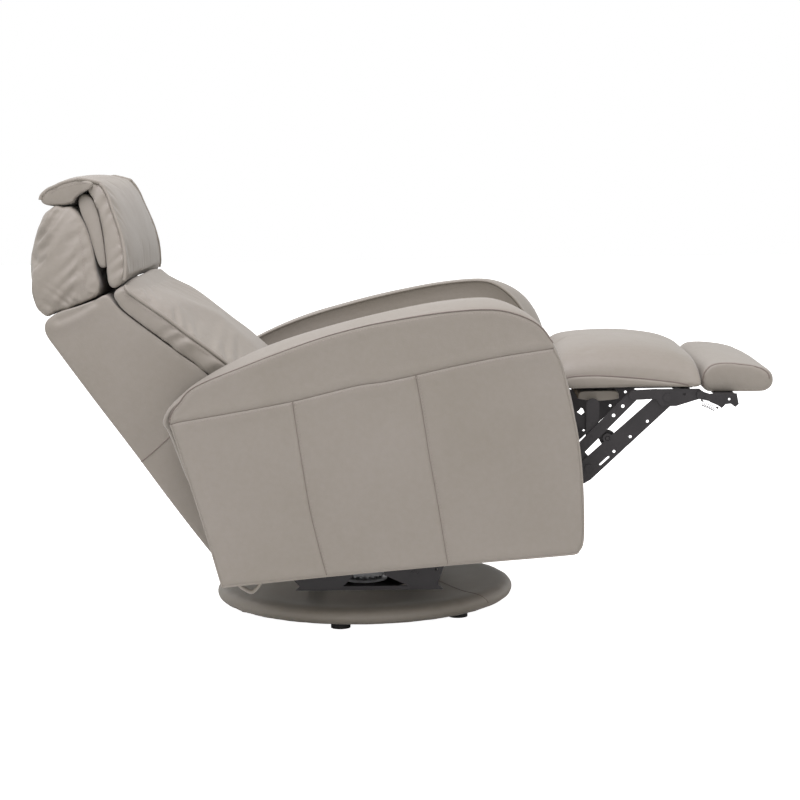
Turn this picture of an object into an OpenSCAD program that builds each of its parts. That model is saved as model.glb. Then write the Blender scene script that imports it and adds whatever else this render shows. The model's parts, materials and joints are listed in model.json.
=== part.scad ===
// Reclined swivel glider armchair on a round upholstered base disc.
// Millimetres, +Z up, origin on the swivel axis at the floor.
// The sitter faces +X and the sitter's right side is at -Y.
// The rest pose is fully reclined, with the legrest out and the head section tilted forward.

/* [Base] */
// Radius of the upholstered disc at its widest
base_r = 315; // [290:1:340]
// Height of the disc's flat middle above the floor
base_top_z = 48; // [42:0.5:56]
// Height of the disc's widest line above the floor
base_rim_z = 29; // [24:0.5:32]
// Height of the six glides
glide_h = 12; // [8:0.5:16]
// Radius of one glide
glide_r = 20; // [16:0.5:21]
// Radius of the circle that the glides stand on
glide_circle_r = 256; // [200:1:257]
// Number of glides
glide_count = 6; // [4:1:8]

/* [Swivel] */
// Outer radius of the swivel rings
ring_r = 48; // [44:1:60]
// Inner radius of the swivel rings
ring_in_r = 24; // [18:1:30]
// Thickness of the ring plates
ring_t = 5; // [4:0.25:6]
// Radius of one bearing ball
ball_r = 4; // [3:0.25:5]
// Number of bearing balls
ball_count = 18; // [8:1:24]
// Radius of the centre bolt
bolt_r = 9; // [6:0.5:12]

/* [Widths] */
// Clear width between the two arms
between_arms = 570; // [562:1:600]
// Width of one arm
arm_w = 133; // [110:1:150]
// Width of the main legrest pad
ottoman_w = 520; // [480:1:530]
// Width of the foot pad
foot_w = 480; // [440:1:556]
// Width of the back cushion and the back shell
back_w = 540; // [520:1:552]
// Width of the head section at its foot
head_w = 530; // [480:1:548]
// How much narrower the head section is on each side at its top
head_taper = 45; // [0:1:60]
// Gap between the seat cushion and each arm
seat_side_gap = 3; // [1:0.5:8]
// Gap between a cushion and what carries it
seat_gap = 0.4; // [0.3:0.05:1]

/* [Steelwork] */
// Half the distance between the inner faces of the side plates
plate_in = 246; // [240:0.5:247]
// Thickness of the side plates
plate_t = 3.5; // [3:0.25:4]
// Thickness of every link
link_t = 3; // [2.5:0.25:3.5]
// Free space between two neighbouring links
link_gap = 0.6; // [0.4:0.1:1]
// Radius of every pivot rivet
rivet_r = 5; // [3.5:0.25:6]
// Running clearance around a rivet
rivet_clear = 0.05; // [0.02:0.01:0.1]
// Radius of a rivet head
head_r = 8; // [7:0.25:9]
// Thickness of a rivet head
head_t = 2; // [1.5:0.25:2.5]
// Play between a rivet head and the link under it
head_play = 0.2; // [0.1:0.05:0.4]
// Extra radius of the cross link's open hole
open_clear = 6; // [5.6:0.1:6.5]
// Extra radius of the top link's open hole
top_open_clear = 2.2; // [2:0.1:3]
// Extra radius of the front glide link's open hole
glide_open_clear = 1.6; // [1.4:0.1:3]

/* [Legrest linkage] */
// Half the width of the lift link
lift_half = 15; // [12:0.5:16]
// Half the width of the main ottoman link
ottoman_link_half = 20; // [16:0.5:21]
// Half the width of the top link
top_link_half = 11; // [8:0.5:11.5]
// Half the width of the cross link
cross_link_half = 11; // [8:0.5:12]
// Thickness of the gap board between the seat and the legrest
gap_board_t = 20; // [14:0.5:22]

/* [Cushions] */
// Rise of the seat cushion's middle over its side seams
seat_crown = 12; // [0:1:20]
// Rise of the back cushion's middle over its side seams
back_crown = 46; // [20:1:52]
// Rise of the head cushion's middle over its side seams
head_crown = 28; // [10:1:34]
// Rise of the main legrest pad's middle over its side seam
ottoman_crown = 66; // [30:1:70]
// How far the sides of the cushions draw in between their corners
side_pull = 5; // [0:0.5:8]
// Amount by which the arm's top falls towards its outer seam
arm_fall = 15; // [6:1:20]
// Bulge of the arm's outer face
arm_bulge = 8; // [2:0.5:12]
// How far the inner front corner of the arm's top lies behind the outer one
arm_draw = 25; // [0:1:40]

/* [Seat frame] */
// Width of one wooden seat rail
rail_w = 28; // [20:1:32]
// Depth of one wooden seat rail
rail_h = 44; // [30:1:46]
// Thickness of the elastic webbing
web_t = 2; // [1.5:0.25:2.5]
// Width of one strap of webbing
web_w = 55; // [40:1:60]

/* [Hidden] */
leather = "#a69c95";
leather_dark = "#8d837c";
steel_black = "#2b2a2b";
zinc = "#b9bbbd";
ply = "#b08a5c";
black_cloth = "#222222";
nylon = "#1c1c1c";

// Pivots of the legrest linkage in the plane of the side, X and Z
lift_pivot = [356, 454];
cross_pivot = [378, 463];
lift_end = [465, 322];
cross_end = [503, 382];
top_start = [436, 349];
top_end = [556, 469];
ottoman_pivot = [622, 463];
foot_pivot = [688, 468];

// Pivots of the glide links, the back and the head section
rear_hang = [-98, 162];
rear_carry = [-78, 101];
front_hang = [136, 170];
front_carry = [112, 106];
back_pivot = [-228, 392];
head_pivot = [-606, 648];

// Planes of the steelwork: distance of each inner face from the middle of the chair
lift_in = plate_in + plate_t + link_gap;
link_in = lift_in + link_t + link_gap;
bracket_in = link_in + link_t + link_gap;
foot_arm_in = bracket_in + link_t + link_gap;
cross_in = plate_in - link_gap - link_t;
platform_in = cross_in - link_gap - plate_t;

arm_in = between_arms / 2;
arm_out = arm_in + arm_w;
seat_half = arm_in - seat_side_gap;
back_half = back_w / 2;
head_half = head_w / 2;
hinge_plate_gap = 0.3;
back_plate_in = back_half + hinge_plate_gap;

// Heights of the swivel, from the disc upwards
lower_ring_top = base_top_z + ring_t;
upper_ring_z = lower_ring_top + 2 * ball_r;
hub_z = upper_ring_z + ring_t;
lip_h = 12;
lip_t = 4;
frame_z = upper_ring_z + lip_h + 1;
frame_bar_h = 10;
ball_circle_r = (ring_r + ring_in_r) / 2;
ball_clear = 0.05;

// The rail line runs along the seat from the back pivot to the cross link's pivot
rail_slope = atan2(cross_pivot[1] - back_pivot[1], cross_pivot[0] - back_pivot[0]);
function rail_z(x) = back_pivot[1] + (x - back_pivot[0]) * tan(rail_slope);
rail_half = 19;
cushion_over_rail = 28;

CIRCLE = 48;
SPLINE_STEPS = 2;

// Smooth closed curve through a list of points, each a vector of any length
function curve_point(a, b, c, d, t) =
    0.5 * (2 * b + (c - a) * t + (2 * a - 5 * b + 4 * c - d) * t * t
        + (3 * b - a - 3 * c + d) * t * t * t);
function smooth(points, steps = SPLINE_STEPS) =
    let (n = len(points))
    [for (i = [0 : n - 1]) for (k = [0 : steps - 1])
        curve_point(points[(i + n - 1) % n], points[i], points[(i + 1) % n],
            points[(i + 2) % n], k / steps)];
function ramp(t) = t < 0 ? 0 : t > 1 ? 1 : t * t * (3 - 2 * t);
function middle(points) = [for (k = [0 : 2]) ([for (p = points) p[k]] * [for (p = points) 1]) / len(points)];

// Closed skin over rings of points; every ring has as many points, in the same order
module skin(rings) {
    n = len(rings[0]);
    m = len(rings);
    flat = [for (ring = rings) for (p = ring) p];
    sides = [for (i = [0 : m - 2]) for (j = [0 : n - 1])
        let (a = i * n + j, b = i * n + (j + 1) % n)
        each [[a, a + n, b + n], [a, b + n, b]]];
    low_cap = [for (j = [0 : n - 1]) [m * n, j, (j + 1) % n]];
    high_cap = [for (j = [0 : n - 1]) [m * n + 1, (m - 1) * n + (j + 1) % n, (m - 1) * n + j]];
    polyhedron(concat(flat, [middle(rings[0]), middle(rings[m - 1])]),
        concat(sides, low_cap, high_cap), convexity = 6);
}

// Crowned cushion across the chair. Each point is [x, z, rise in x, rise in z]:
// its place on the side seam, and how far the middle of the cushion swells out from there.
// A pillowy shoulder falls away early to the side seam, a boxed one late. The taper draws in
// each side at the top of the outline.
CUSHION_STATIONS = [-1, -0.97, -0.88, -0.72, -0.4, 0, 0.4, 0.72, 0.88, 0.97, 1];
PILLOWY = 2.4;
BOXED = 6;
function swell(s, shoulder) = pow(1 - pow(abs(s), shoulder), 0.6);
module cushion(points, half, pull = side_pull, shoulder = PILLOWY, taper = 0) {
    outline = smooth(points);
    xs = [for (p = outline) p[0]];
    zs = [for (p = outline) p[1]];
    mid_x = (max(xs) + min(xs)) / 2;
    half_x = (max(xs) - min(xs)) / 2;
    skin([for (s = CUSHION_STATIONS)
        [for (p = outline)
            let (u = (p[0] - mid_x) / half_x,
                up = (p[1] - min(zs)) / (max(zs) - min(zs)),
                k = swell(s, shoulder))
            [p[0] + p[2] * k, s * (half - pull * (1 - u * u) - taper * up), p[1] + p[3] * k]]]);
}

// Flat plate standing along the chair, its inner face at a distance from the middle
module side_slab(side, inner, thick) {
    translate([0, side > 0 ? inner + thick : -inner, 0])
        rotate([90, 0, 0])
            linear_extrude(thick)
                union() children();
}

// Round rod across the chair, from one distance to another on one side
module side_rod(side, at, r, from, to) {
    translate([at[0], side > 0 ? to : -from, at[1]])
        rotate([90, 0, 0])
            cylinder(h = to - from, r = r, $fn = CIRCLE);
}

// Straight bar with round ends, drawn as a flat outline
module bar_outline(a, b, r_a, r_b) {
    d = norm(b - a);
    along = (b - a) / d;
    lean = asin((r_a - r_b) / d);
    u = [-along[1], along[0]];
    left = cos(lean) * u + sin(lean) * along;
    right = -cos(lean) * u + sin(lean) * along;
    translate(a) circle(r = r_a, $fn = CIRCLE);
    translate(b) circle(r = r_b, $fn = CIRCLE);
    polygon([a + r_a * right, b + r_b * right, b + r_b * left, a + r_a * left]);
}

// Link with round ends and a hole in each end
module link(side, inner, a, b, half, hole_a, hole_b, thick = link_t) {
    difference() {
        side_slab(side, inner, thick) bar_outline(a, b, half, half);
        side_rod(side, a, hole_a, inner - 1, inner + thick + 1);
        side_rod(side, b, hole_b, inner - 1, inner + thick + 1);
    }
}

// Rivet with a head at its outer end, at its inner end, or at both
module rivet(side, at, from, to, outer_head = true, inner_head = false) {
    side_rod(side, at, rivet_r, from, to);
    if (outer_head) side_rod(side, at, head_r, to, to + head_t);
    if (inner_head) side_rod(side, at, head_r, from - head_t, from);
}

running_r = rivet_r + rivet_clear;

// Upholstered disc: wood core under leather, flat in the middle and rounded at the rim
disc_bottom_r = 278;
disc_flat_r = 120;
module base_disc() {
    rim = base_r;
    color(leather)
        rotate_extrude($fn = 96)
            polygon(concat(
                [[0, glide_h], [disc_bottom_r, glide_h]],
                [for (a = [-60 : 20 : 60])
                    [rim - (rim - disc_bottom_r) * (1 - cos(a)) * 0.9,
                        base_rim_z + (a < 0 ? (base_rim_z - glide_h) * sin(a) : 7 * sin(a))]],
                [[disc_bottom_r, base_rim_z + 8.5], [200, base_top_z - 5], [disc_flat_r, base_top_z],
                    [0, base_top_z]]));
}

// Black board that closes the underside of the disc
underside_t = 3;
module base_underside() {
    color(black_cloth)
        translate([0, 0, glide_h - underside_t])
            cylinder(h = underside_t, r = glide_circle_r - glide_r - 2, $fn = 96);
}

glide_turn = -9;
module base_glides() {
    for (k = [0 : glide_count - 1]) {
        color(nylon)
            rotate([0, 0, glide_turn + k * 360 / glide_count - 90])
                translate([glide_circle_r, 0, 0])
                    union() {
                        cylinder(h = glide_h, r = glide_r - 2, $fn = CIRCLE);
                        cylinder(h = glide_h - 3, r = glide_r, $fn = CIRCLE);
                    }
    }
}

// Lower ring: a flat zinc plate on the disc, with the bolt hole in its middle
module swivel_lower_ring() {
    color(zinc)
        difference() {
            translate([0, 0, base_top_z]) cylinder(h = ring_t, r = ring_r, $fn = 96);
            translate([0, 0, base_top_z - 1])
                cylinder(h = ring_t + 2, r = bolt_r + rivet_clear, $fn = CIRCLE);
        }
}

module swivel_balls() {
    color(zinc)
        for (k = [0 : ball_count - 1])
            rotate([0, 0, k * 360 / ball_count])
                translate([ball_circle_r, 0, lower_ring_top + ball_r])
                    sphere(r = ball_r - ball_clear, $fn = 24);
}

// Upper ring: an open zinc ring with a raised lip around it
module swivel_upper_ring() {
    color(zinc)
        difference() {
            union() {
                translate([0, 0, upper_ring_z]) cylinder(h = ring_t, r = ring_r, $fn = 96);
                translate([0, 0, upper_ring_z]) cylinder(h = lip_h, r = ring_r, $fn = 96);
            }
            translate([0, 0, upper_ring_z + ring_t])
                cylinder(h = lip_h, r = ring_r - lip_t, $fn = 96);
            translate([0, 0, upper_ring_z - 1]) cylinder(h = lip_h, r = ring_in_r, $fn = 96);
        }
}

// Centre bolt through both rings, with a washer under its head
bolt_head_h = 7;
module swivel_bolt() {
    color(zinc) {
        translate([0, 0, base_top_z + 0.5])
            cylinder(h = frame_z + frame_bar_h - base_top_z - 0.5, r = bolt_r, $fn = CIRCLE);
        translate([0, 0, frame_z + frame_bar_h])
            cylinder(h = bolt_head_h, r = bolt_r * 1.8, $fn = 6);
    }
}

// Platform: a hub in the upper ring, four bars out to the platform plates
cross_bar_w = 34;
module platform_frame() {
    bar_half_y = platform_in;
    color(steel_black)
        difference() {
            union() {
                translate([0, 0, hub_z])
                    cylinder(h = frame_z + frame_bar_h - hub_z, r = ring_r - lip_t - 1, $fn = 96);
                for (x = [rear_hang[0], front_hang[0]])
                    translate([x - cross_bar_w / 2, -bar_half_y, frame_z])
                        cube([cross_bar_w, 2 * bar_half_y, frame_bar_h]);
                translate([rear_hang[0], -cross_bar_w, frame_z])
                    cube([front_hang[0] - rear_hang[0], 2 * cross_bar_w, frame_bar_h]);
            }
            translate([0, 0, hub_z - 1])
                cylinder(h = frame_z + frame_bar_h, r = bolt_r, $fn = CIRCLE);
        }
}

// Platform plate: a low flange with two ears that the glide links hang from
ear_r = 15;
flange_rise = 8;
module platform_plate(side) {
    color(steel_black)
        difference() {
            side_slab(side, platform_in, plate_t) {
                polygon([[rear_hang[0] - 34, frame_z], [front_hang[0] + 34, frame_z],
                    [front_hang[0] + 26, frame_z + flange_rise],
                    [rear_hang[0] - 26, frame_z + flange_rise]]);
                bar_outline([rear_hang[0], frame_z + flange_rise], rear_hang, 24, ear_r);
                bar_outline([front_hang[0], frame_z + flange_rise], front_hang, 24, ear_r);
                bar_outline(rear_hang, front_hang, 9, 9);
            }
            for (at = [rear_hang, front_hang])
                side_rod(side, at, running_r, platform_in - 1, platform_in + plate_t + 1);
            translate([-400, -400, frame_z - 60]) cube([900, 800, 60]);
        }
}

// Glide link with its upper rivet; it hangs from the platform plate
glide_link_half = 12;
module glide_link(side, hang, carry, low_hole) {
    color(steel_black) {
        link(side, cross_in, hang, carry, glide_link_half, rivet_r, low_hole);
        rivet(side, hang, platform_in - link_gap, cross_in + link_t, outer_head = false, inner_head = true);
    }
}

// Side plate: the pressed steel cheek that carries every pivot of the seat. Two lobes hang from
// it to the glide links, each pressed with a wavy bead, and two holes lighten its middle.
REAR_LOBE = [[62, 84], [-64, 84], [-60, 0], [-38, -24], [34, -23], [48, -14], [66, 6]];
FRONT_LOBE = [[60, 74], [-70, 74], [-62, 0], [-36, -12], [-12, -23], [38, -26], [50, -10], [60, 18]];
REAR_BEAD = [[-48, 22], [-26, 12], [-2, 22], [22, 14], [48, 30]];
FRONT_BEAD = [[-52, 14], [-30, 22], [-8, 12], [20, 18], [46, 34]];
bead_half = 3;
bead_t = 1;
lobe_hole = [44, 11];
cheek_low_z = 178;
cheek_hole_r = 18;
CHEEK_HOLES = [[-60, 290], [70, 300]];
module bead(carry, line) {
    polygon(concat([for (p = line) carry + p - [0, bead_half]],
        [for (i = [len(line) - 1 : -1 : 0]) carry + line[i] + [0, bead_half]]));
}
module side_plate(side) {
    out = plate_in + plate_t + 1;
    color(steel_black) {
        difference() {
            side_slab(side, plate_in, plate_t) {
                bar_outline(back_pivot, lift_pivot, rail_half, rail_half);
                bar_outline(lift_pivot, cross_pivot, 16, 14);
                polygon([for (p = REAR_LOBE) rear_carry + p]);
                polygon([for (p = FRONT_LOBE) front_carry + p]);
                polygon([[-150, cheek_low_z], [175, cheek_low_z], [200, 240], [150, rail_z(150)],
                    [-180, rail_z(-180)], [-190, 260]]);
            }
            side_rod(side, back_pivot, running_r, plate_in - 1, out);
            for (at = [lift_pivot, cross_pivot, rear_carry, front_carry])
                side_rod(side, at, rivet_r, plate_in - 1, out);
            for (at = CHEEK_HOLES)
                side_rod(side, at, cheek_hole_r, plate_in - 1, out);
            side_rod(side, rear_carry + lobe_hole, 3, plate_in - 1, out);
            side_rod(side, front_carry + lobe_hole, 3, plate_in - 1, out);
        }
        side_slab(side, plate_in + plate_t, bead_t) bead(rear_carry, REAR_BEAD);
        side_slab(side, plate_in + plate_t, bead_t) bead(front_carry, FRONT_BEAD);
    }
}

// Rivets that are fast in the side plates
module seat_rivets() {
    color(steel_black)
        for (side = [-1, 1]) {
            rivet(side, lift_pivot, plate_in, lift_in + link_t + head_play);
            rivet(side, cross_pivot, cross_in - head_play, plate_in + plate_t,
                outer_head = false, inner_head = true);
            for (at = [rear_carry, front_carry])
                rivet(side, at, cross_in, plate_in + plate_t);
        }
}

// Arm: padded top band that falls to its outer seam, and a faintly bulged side
ARM = [
    [-262, 119], [-283, 196], [-308, 288], [-334, 358], [-360, 424], [-370, 440], [-366, 458],
    [-348, 482], [-304, 518], [-222, 562], [-131, 597], [-20, 628], [90, 653], [180, 668], [256, 673],
    [312, 664], [350, 640], [386, 590], [406, 540], [425, 462], [438, 360], [444, 262], [442, 200],
    [430, 180], [404, 176], [200, 160], [-20, 141], [-240, 120]
];
ARM_MIDDLE = [40, 360];
ARM_REACH = 300;
function arm_ring(y, fall, inset, draw = 0) =
    [for (p = smooth(ARM))
        let (on_top = ramp((p[0] + 366) / 70) * ramp((384 - p[0]) / 60) * ramp((p[1] - 300) / 60),
            in_front = ramp((p[0] - 240) / 110) * ramp((p[1] - 400) / 200),
            k = 1 - inset / ARM_REACH)
        [ARM_MIDDLE[0] + (p[0] - draw * in_front - ARM_MIDDLE[0]) * k, y,
            ARM_MIDDLE[1] + (p[1] - fall * on_top - ARM_MIDDLE[1]) * k]];
module arm(side) {
    seam = arm_out - arm_bulge;
    band = seam - arm_in;
    rings = [
        arm_ring(arm_in, 0.6 * arm_fall, 6, arm_draw),
        arm_ring(arm_in + 5, 0.3 * arm_fall, 1, arm_draw),
        arm_ring(arm_in + 0.15 * band, 0.1 * arm_fall, 0, 0.72 * arm_draw),
        arm_ring(arm_in + 0.38 * band, 0, 0, 0.38 * arm_draw),
        arm_ring(arm_in + 0.62 * band, 0.22 * arm_fall, 0, 0.14 * arm_draw),
        arm_ring(arm_in + 0.85 * band, 0.62 * arm_fall, 0),
        arm_ring(seam, arm_fall, 1),
        arm_ring(seam + 0.55 * arm_bulge, arm_fall, 9),
        arm_ring(seam + 0.88 * arm_bulge, arm_fall, 40),
        arm_ring(seam + arm_bulge, arm_fall, 120)
    ];
    color(leather)
        mirror([0, side > 0 ? 0 : 1, 0])
            skin(rings);
}

// Spacer tubes that bolt the arms to the side plates
ARM_SPACERS = [[-178, 398], [-10, 417], [140, 432]];
spacer_r = 12;
module arm_spacers() {
    color(steel_black)
        for (side = [-1, 1])
            for (at = ARM_SPACERS)
                side_rod(side, at, spacer_r, plate_in + plate_t, arm_in);
}

// Wooden seat frame, let in between the side plates on short spacer blocks
frame_rear_x = -96;
frame_front_x = 322;
rail_out = platform_in - 2;
RAIL_BLOCKS = [-70, 60, 190];
module on_rail_line(x) {
    translate([x, 0, rail_z(x)])
        rotate([0, -rail_slope, 0])
            children();
}
frame_len = (frame_front_x - frame_rear_x) / cos(rail_slope);
rail_top = cushion_over_rail - web_t;
module seat_rail(side) {
    color(ply) {
        on_rail_line(frame_rear_x)
            translate([0, side > 0 ? rail_out - rail_w : -rail_out, rail_top - rail_h])
                cube([frame_len, rail_w, rail_h]);
        for (x = RAIL_BLOCKS)
            side_rod(side, [x, rail_z(x)], 11, rail_out, plate_in);
    }
}
module cross_rail(x) {
    color(ply)
        on_rail_line(x)
            translate([0, rail_w - rail_out, rail_top - rail_h])
                cube([rail_w, 2 * (rail_out - rail_w), rail_h]);
}
module front_seat_rail() cross_rail(frame_front_x - rail_w);
module rear_seat_rail() cross_rail(frame_rear_x);

web_count = 5;
module seat_webbing() {
    step = 2 * (rail_out - rail_w) / web_count;
    color(black_cloth)
        on_rail_line(frame_rear_x)
            for (k = [0 : web_count - 1])
                translate([0, rail_w - rail_out + (k + 0.5) * step - web_w / 2, rail_top])
                    cube([frame_len, web_w, web_t]);
}

function cushion_z(x) = rail_z(x) + (cushion_over_rail + seat_gap) / cos(rail_slope);
module seat_cushion() {
    SEAT = [
        [-114, cushion_z(-114) + 6, 0, 0], [-117, 462, 0, 2], [-104, 492, 0, 8],
        [-10, 509, 0, seat_crown], [110, 524, 0, seat_crown], [230, 539, 0, seat_crown],
        [318, 548, 0, seat_crown], [360, 544, 0, 10], [378, 522, 0, 4], [374, 502, 0, 0],
        [350, cushion_z(350), 0, 0], [320, cushion_z(320), 0, 0], [200, cushion_z(200), 0, 0],
        [40, cushion_z(40), 0, 0], [-80, cushion_z(-80), 0, 0], [-100, cushion_z(-100), 0, 0]
    ];
    color(leather) cushion(SEAT, seat_half);
}

// Outer back: a deep upholstered wedge behind the back cushion
SHELL = [
    [-290, 152, 0, 0], [-311, 174, -4, -4], [-380, 268, -8, -6], [-453, 372, -8, -6], [-523, 469, -8, -6],
    [-594, 570, -8, -6], [-617, 604, -4, 0], [-618, 628, 0, 0], [-608, 642, 0, 0], [-590, 653, 0, 0],
    [-553, 662, 0, 0], [-520, 673, 0, 0], [-500, 683, 0, 0], [-487, 676, 0, 0], [-464, 651, 0, 0],
    [-404, 604, 0, 0],
    [-348, 561, 0, 0], [-299, 524, 0, 0], [-264, 476, 0, 0], [-252, 410, 0, 0], [-254, 300, 0, 0],
    [-266, 200, 0, 0], [-276, 160, 0, 0]
];
HINGE_Y = [-150, 150];
hinge_half = 30;
knuckle_half = 10;
hinge_gap = 0.3;
hinge_pin_r = 3;
barrel_r = 6;
leaf_t = 4;
leaf_h = 38;
module hinge_pocket(extra) {
    for (y = HINGE_Y)
        translate([head_pivot[0], y + hinge_half + 1, head_pivot[1]])
            rotate([90, 0, 0])
                cylinder(h = 2 * hinge_half + 2, r = barrel_r + extra, $fn = 12);
}
module leaf_pocket(low_z) {
    for (y = HINGE_Y)
        translate([head_pivot[0] - leaf_t / 2 - seat_gap, y - hinge_half - seat_gap, low_z])
            cube([leaf_t + 2 * seat_gap, 2 * (hinge_half + seat_gap), leaf_h + seat_gap]);
}
module back_shell() {
    color(leather)
        difference() {
            cushion(SHELL, back_half, pull = 3);
            hinge_pocket(4);
            leaf_pocket(head_pivot[1] - leaf_h - seat_gap);
        }
}

// Back cushion with its side seams low and a high middle
module back_cushion() {
    c = back_crown;
    BACK = [
        [-262, 483, 0, 0], [-298.5, 524.6, 0, 0], [-347.5, 561.7, 0, 0], [-403.5, 604.7, 0, 0],
        [-463.4, 651.7, 0, 0], [-471, 668, 0, 0], [-464, 684, 0.1 * c, 0.3 * c],
        [-447, 687, 0.35 * c, 0.65 * c],
        [-415, 664, 0.55 * c, 0.85 * c], [-383, 643, 0.55 * c, 0.85 * c], [-327, 597, 0.55 * c, 0.85 * c],
        [-262, 545, 0.5 * c, 0.8 * c], [-214, 502, 0.5 * c, 0.65 * c], [-186, 477, 0.5 * c, 0.4 * c],
        [-180, 466, 0.4 * c, 0], [-205, 460, 0, 0], [-240, 466, 0, 0]
    ];
    color(leather) cushion(BACK, back_half);
}

// Hinge plate of the back, screwed to the side of the outer back
module back_plate(side) {
    tail = [-345, 470];
    reach = back_plate_in + link_t;
    color(steel_black) {
        difference() {
            side_slab(side, back_plate_in, link_t) {
                bar_outline(back_pivot, tail, 17, 12);
                bar_outline([-262, 418], [-300, 330], 14, 12);
            }
            side_rod(side, back_pivot, rivet_r, back_plate_in - 1, reach + 1);
        }
        rivet(side, back_pivot, plate_in - 0.2, reach, inner_head = true);
        side_rod(side, back_pivot, head_r + 2, plate_in + plate_t + 0.4, back_plate_in);
    }
}

// Head section: rear pillow, board, front cushion and the leather hood over them
module headrest_hinges() {
    for (y = HINGE_Y)
        color(steel_black) {
            translate([head_pivot[0] - leaf_t / 2, y - hinge_half, head_pivot[1] - leaf_h])
                cube([leaf_t, 2 * hinge_half, leaf_h - barrel_r - 1]);
            for (k = [-1, 1]) {
                low = y + (k < 0 ? -hinge_half : knuckle_half + hinge_gap);
                translate([head_pivot[0] - leaf_t / 2, low, head_pivot[1] - leaf_h])
                    cube([leaf_t, hinge_half - knuckle_half - hinge_gap, leaf_h]);
                hinge_rod(low, hinge_half - knuckle_half - hinge_gap, barrel_r);
            }
            hinge_rod(y - hinge_half, 2 * hinge_half, hinge_pin_r);
        }
}
module hinge_rod(low, length, r) {
    translate([head_pivot[0], low + length, head_pivot[1]])
        rotate([90, 0, 0])
            cylinder(h = length, r = r, $fn = CIRCLE);
}
module headrest_knuckles() {
    for (y = HINGE_Y)
        color(steel_black)
            difference() {
                union() {
                    hinge_rod(y - knuckle_half, 2 * knuckle_half, barrel_r);
                    translate([head_pivot[0] - leaf_t / 2, y - knuckle_half, head_pivot[1]])
                        cube([leaf_t, 2 * knuckle_half, leaf_h]);
                }
                hinge_rod(y - knuckle_half - 1, 2 * knuckle_half + 2, hinge_pin_r + rivet_clear);
            }
}
module headrest_pillow() {
    PILLOW = [
        [-620, 642, 0, 0], [-633, 655, -2, 0], [-642, 680, -5, 0], [-645, 708, -5, 0], [-643, 752, -5, 0],
        [-635, 802, -5, 0], [-625, 842, -3, 0], [-613, 857, 0, 1], [-592, 860, 0, 4], [-567, 853, 0, 4],
        [-550, 837, 0, 0], [-537, 812, 0, 0], [-526, 775, 0, 0], [-518, 733, 0, 0], [-510, 705, 0, 0],
        [-511, 688, 0, 0], [-520, 678, 0, 0], [-553, 665, 0, 0], [-588, 655, 0, 0], [-608, 645, 0, 0]
    ];
    color(leather)
        difference() {
            cushion(PILLOW, head_half, pull = 3, taper = 0.9 * head_taper);
            hinge_pocket(2);
            leaf_pocket(head_pivot[1]);
        }
}
board_inset = 30;
module headrest_board() {
    BOARD = [
        [-503, 737, 0, 0], [-513.4, 742, 0, 0], [-525, 775, 0, 0], [-536, 812, 0, 0], [-550, 846, 0, 0],
        [-555, 868, 0, 0], [-550, 881, 0, 0], [-537, 882, 0, 0], [-521.1, 864, 0, 0], [-508.1, 815, 0, 0],
        [-498.6, 747, 0, 0]
    ];
    color(leather_dark) cushion(BOARD, head_half - board_inset, pull = 0, taper = 0.67 * head_taper);
}
module headrest_cushion() {
    c = head_crown;
    HEAD = [
        [-478, 696, 0, 0], [-493, 704, 0, 0], [-498, 745, 0, 0], [-507.5, 815, 0, 0], [-520.5, 864, 0, 0],
        [-533, 886, 0, 0], [-538, 902, 0, 3], [-532, 911, 0, 8], [-511, 905, 0.3 * c, 11],
        [-498, 886, 0.75 * c, 0.4 * c], [-484, 849, c, 0.2 * c], [-471, 811, c, 0],
        [-461, 770, 0.8 * c, 0], [-458, 735, 0.5 * c, 0], [-462, 708, 0.2 * c, 0]
    ];
    color(leather) cushion(HEAD, head_half, taper = head_taper);
}
module headrest_hood() {
    HOOD = [
        [-539, 899, 0, 3], [-550, 889, 0, 1], [-561, 882, 0, 1], [-566, 871, 0, 1], [-582, 868, 0, 1],
        [-610, 868, 0, 1], [-628, 872, 0, 2], [-632, 880, 0, 4], [-616, 893, 0, 7], [-590, 904, 0, 9],
        [-565, 911, 0, 10], [-548, 913, 0, 9], [-539, 909, 0, 6]
    ];
    color(leather) cushion(HOOD, head_half - head_taper, pull = 0);
}

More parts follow.
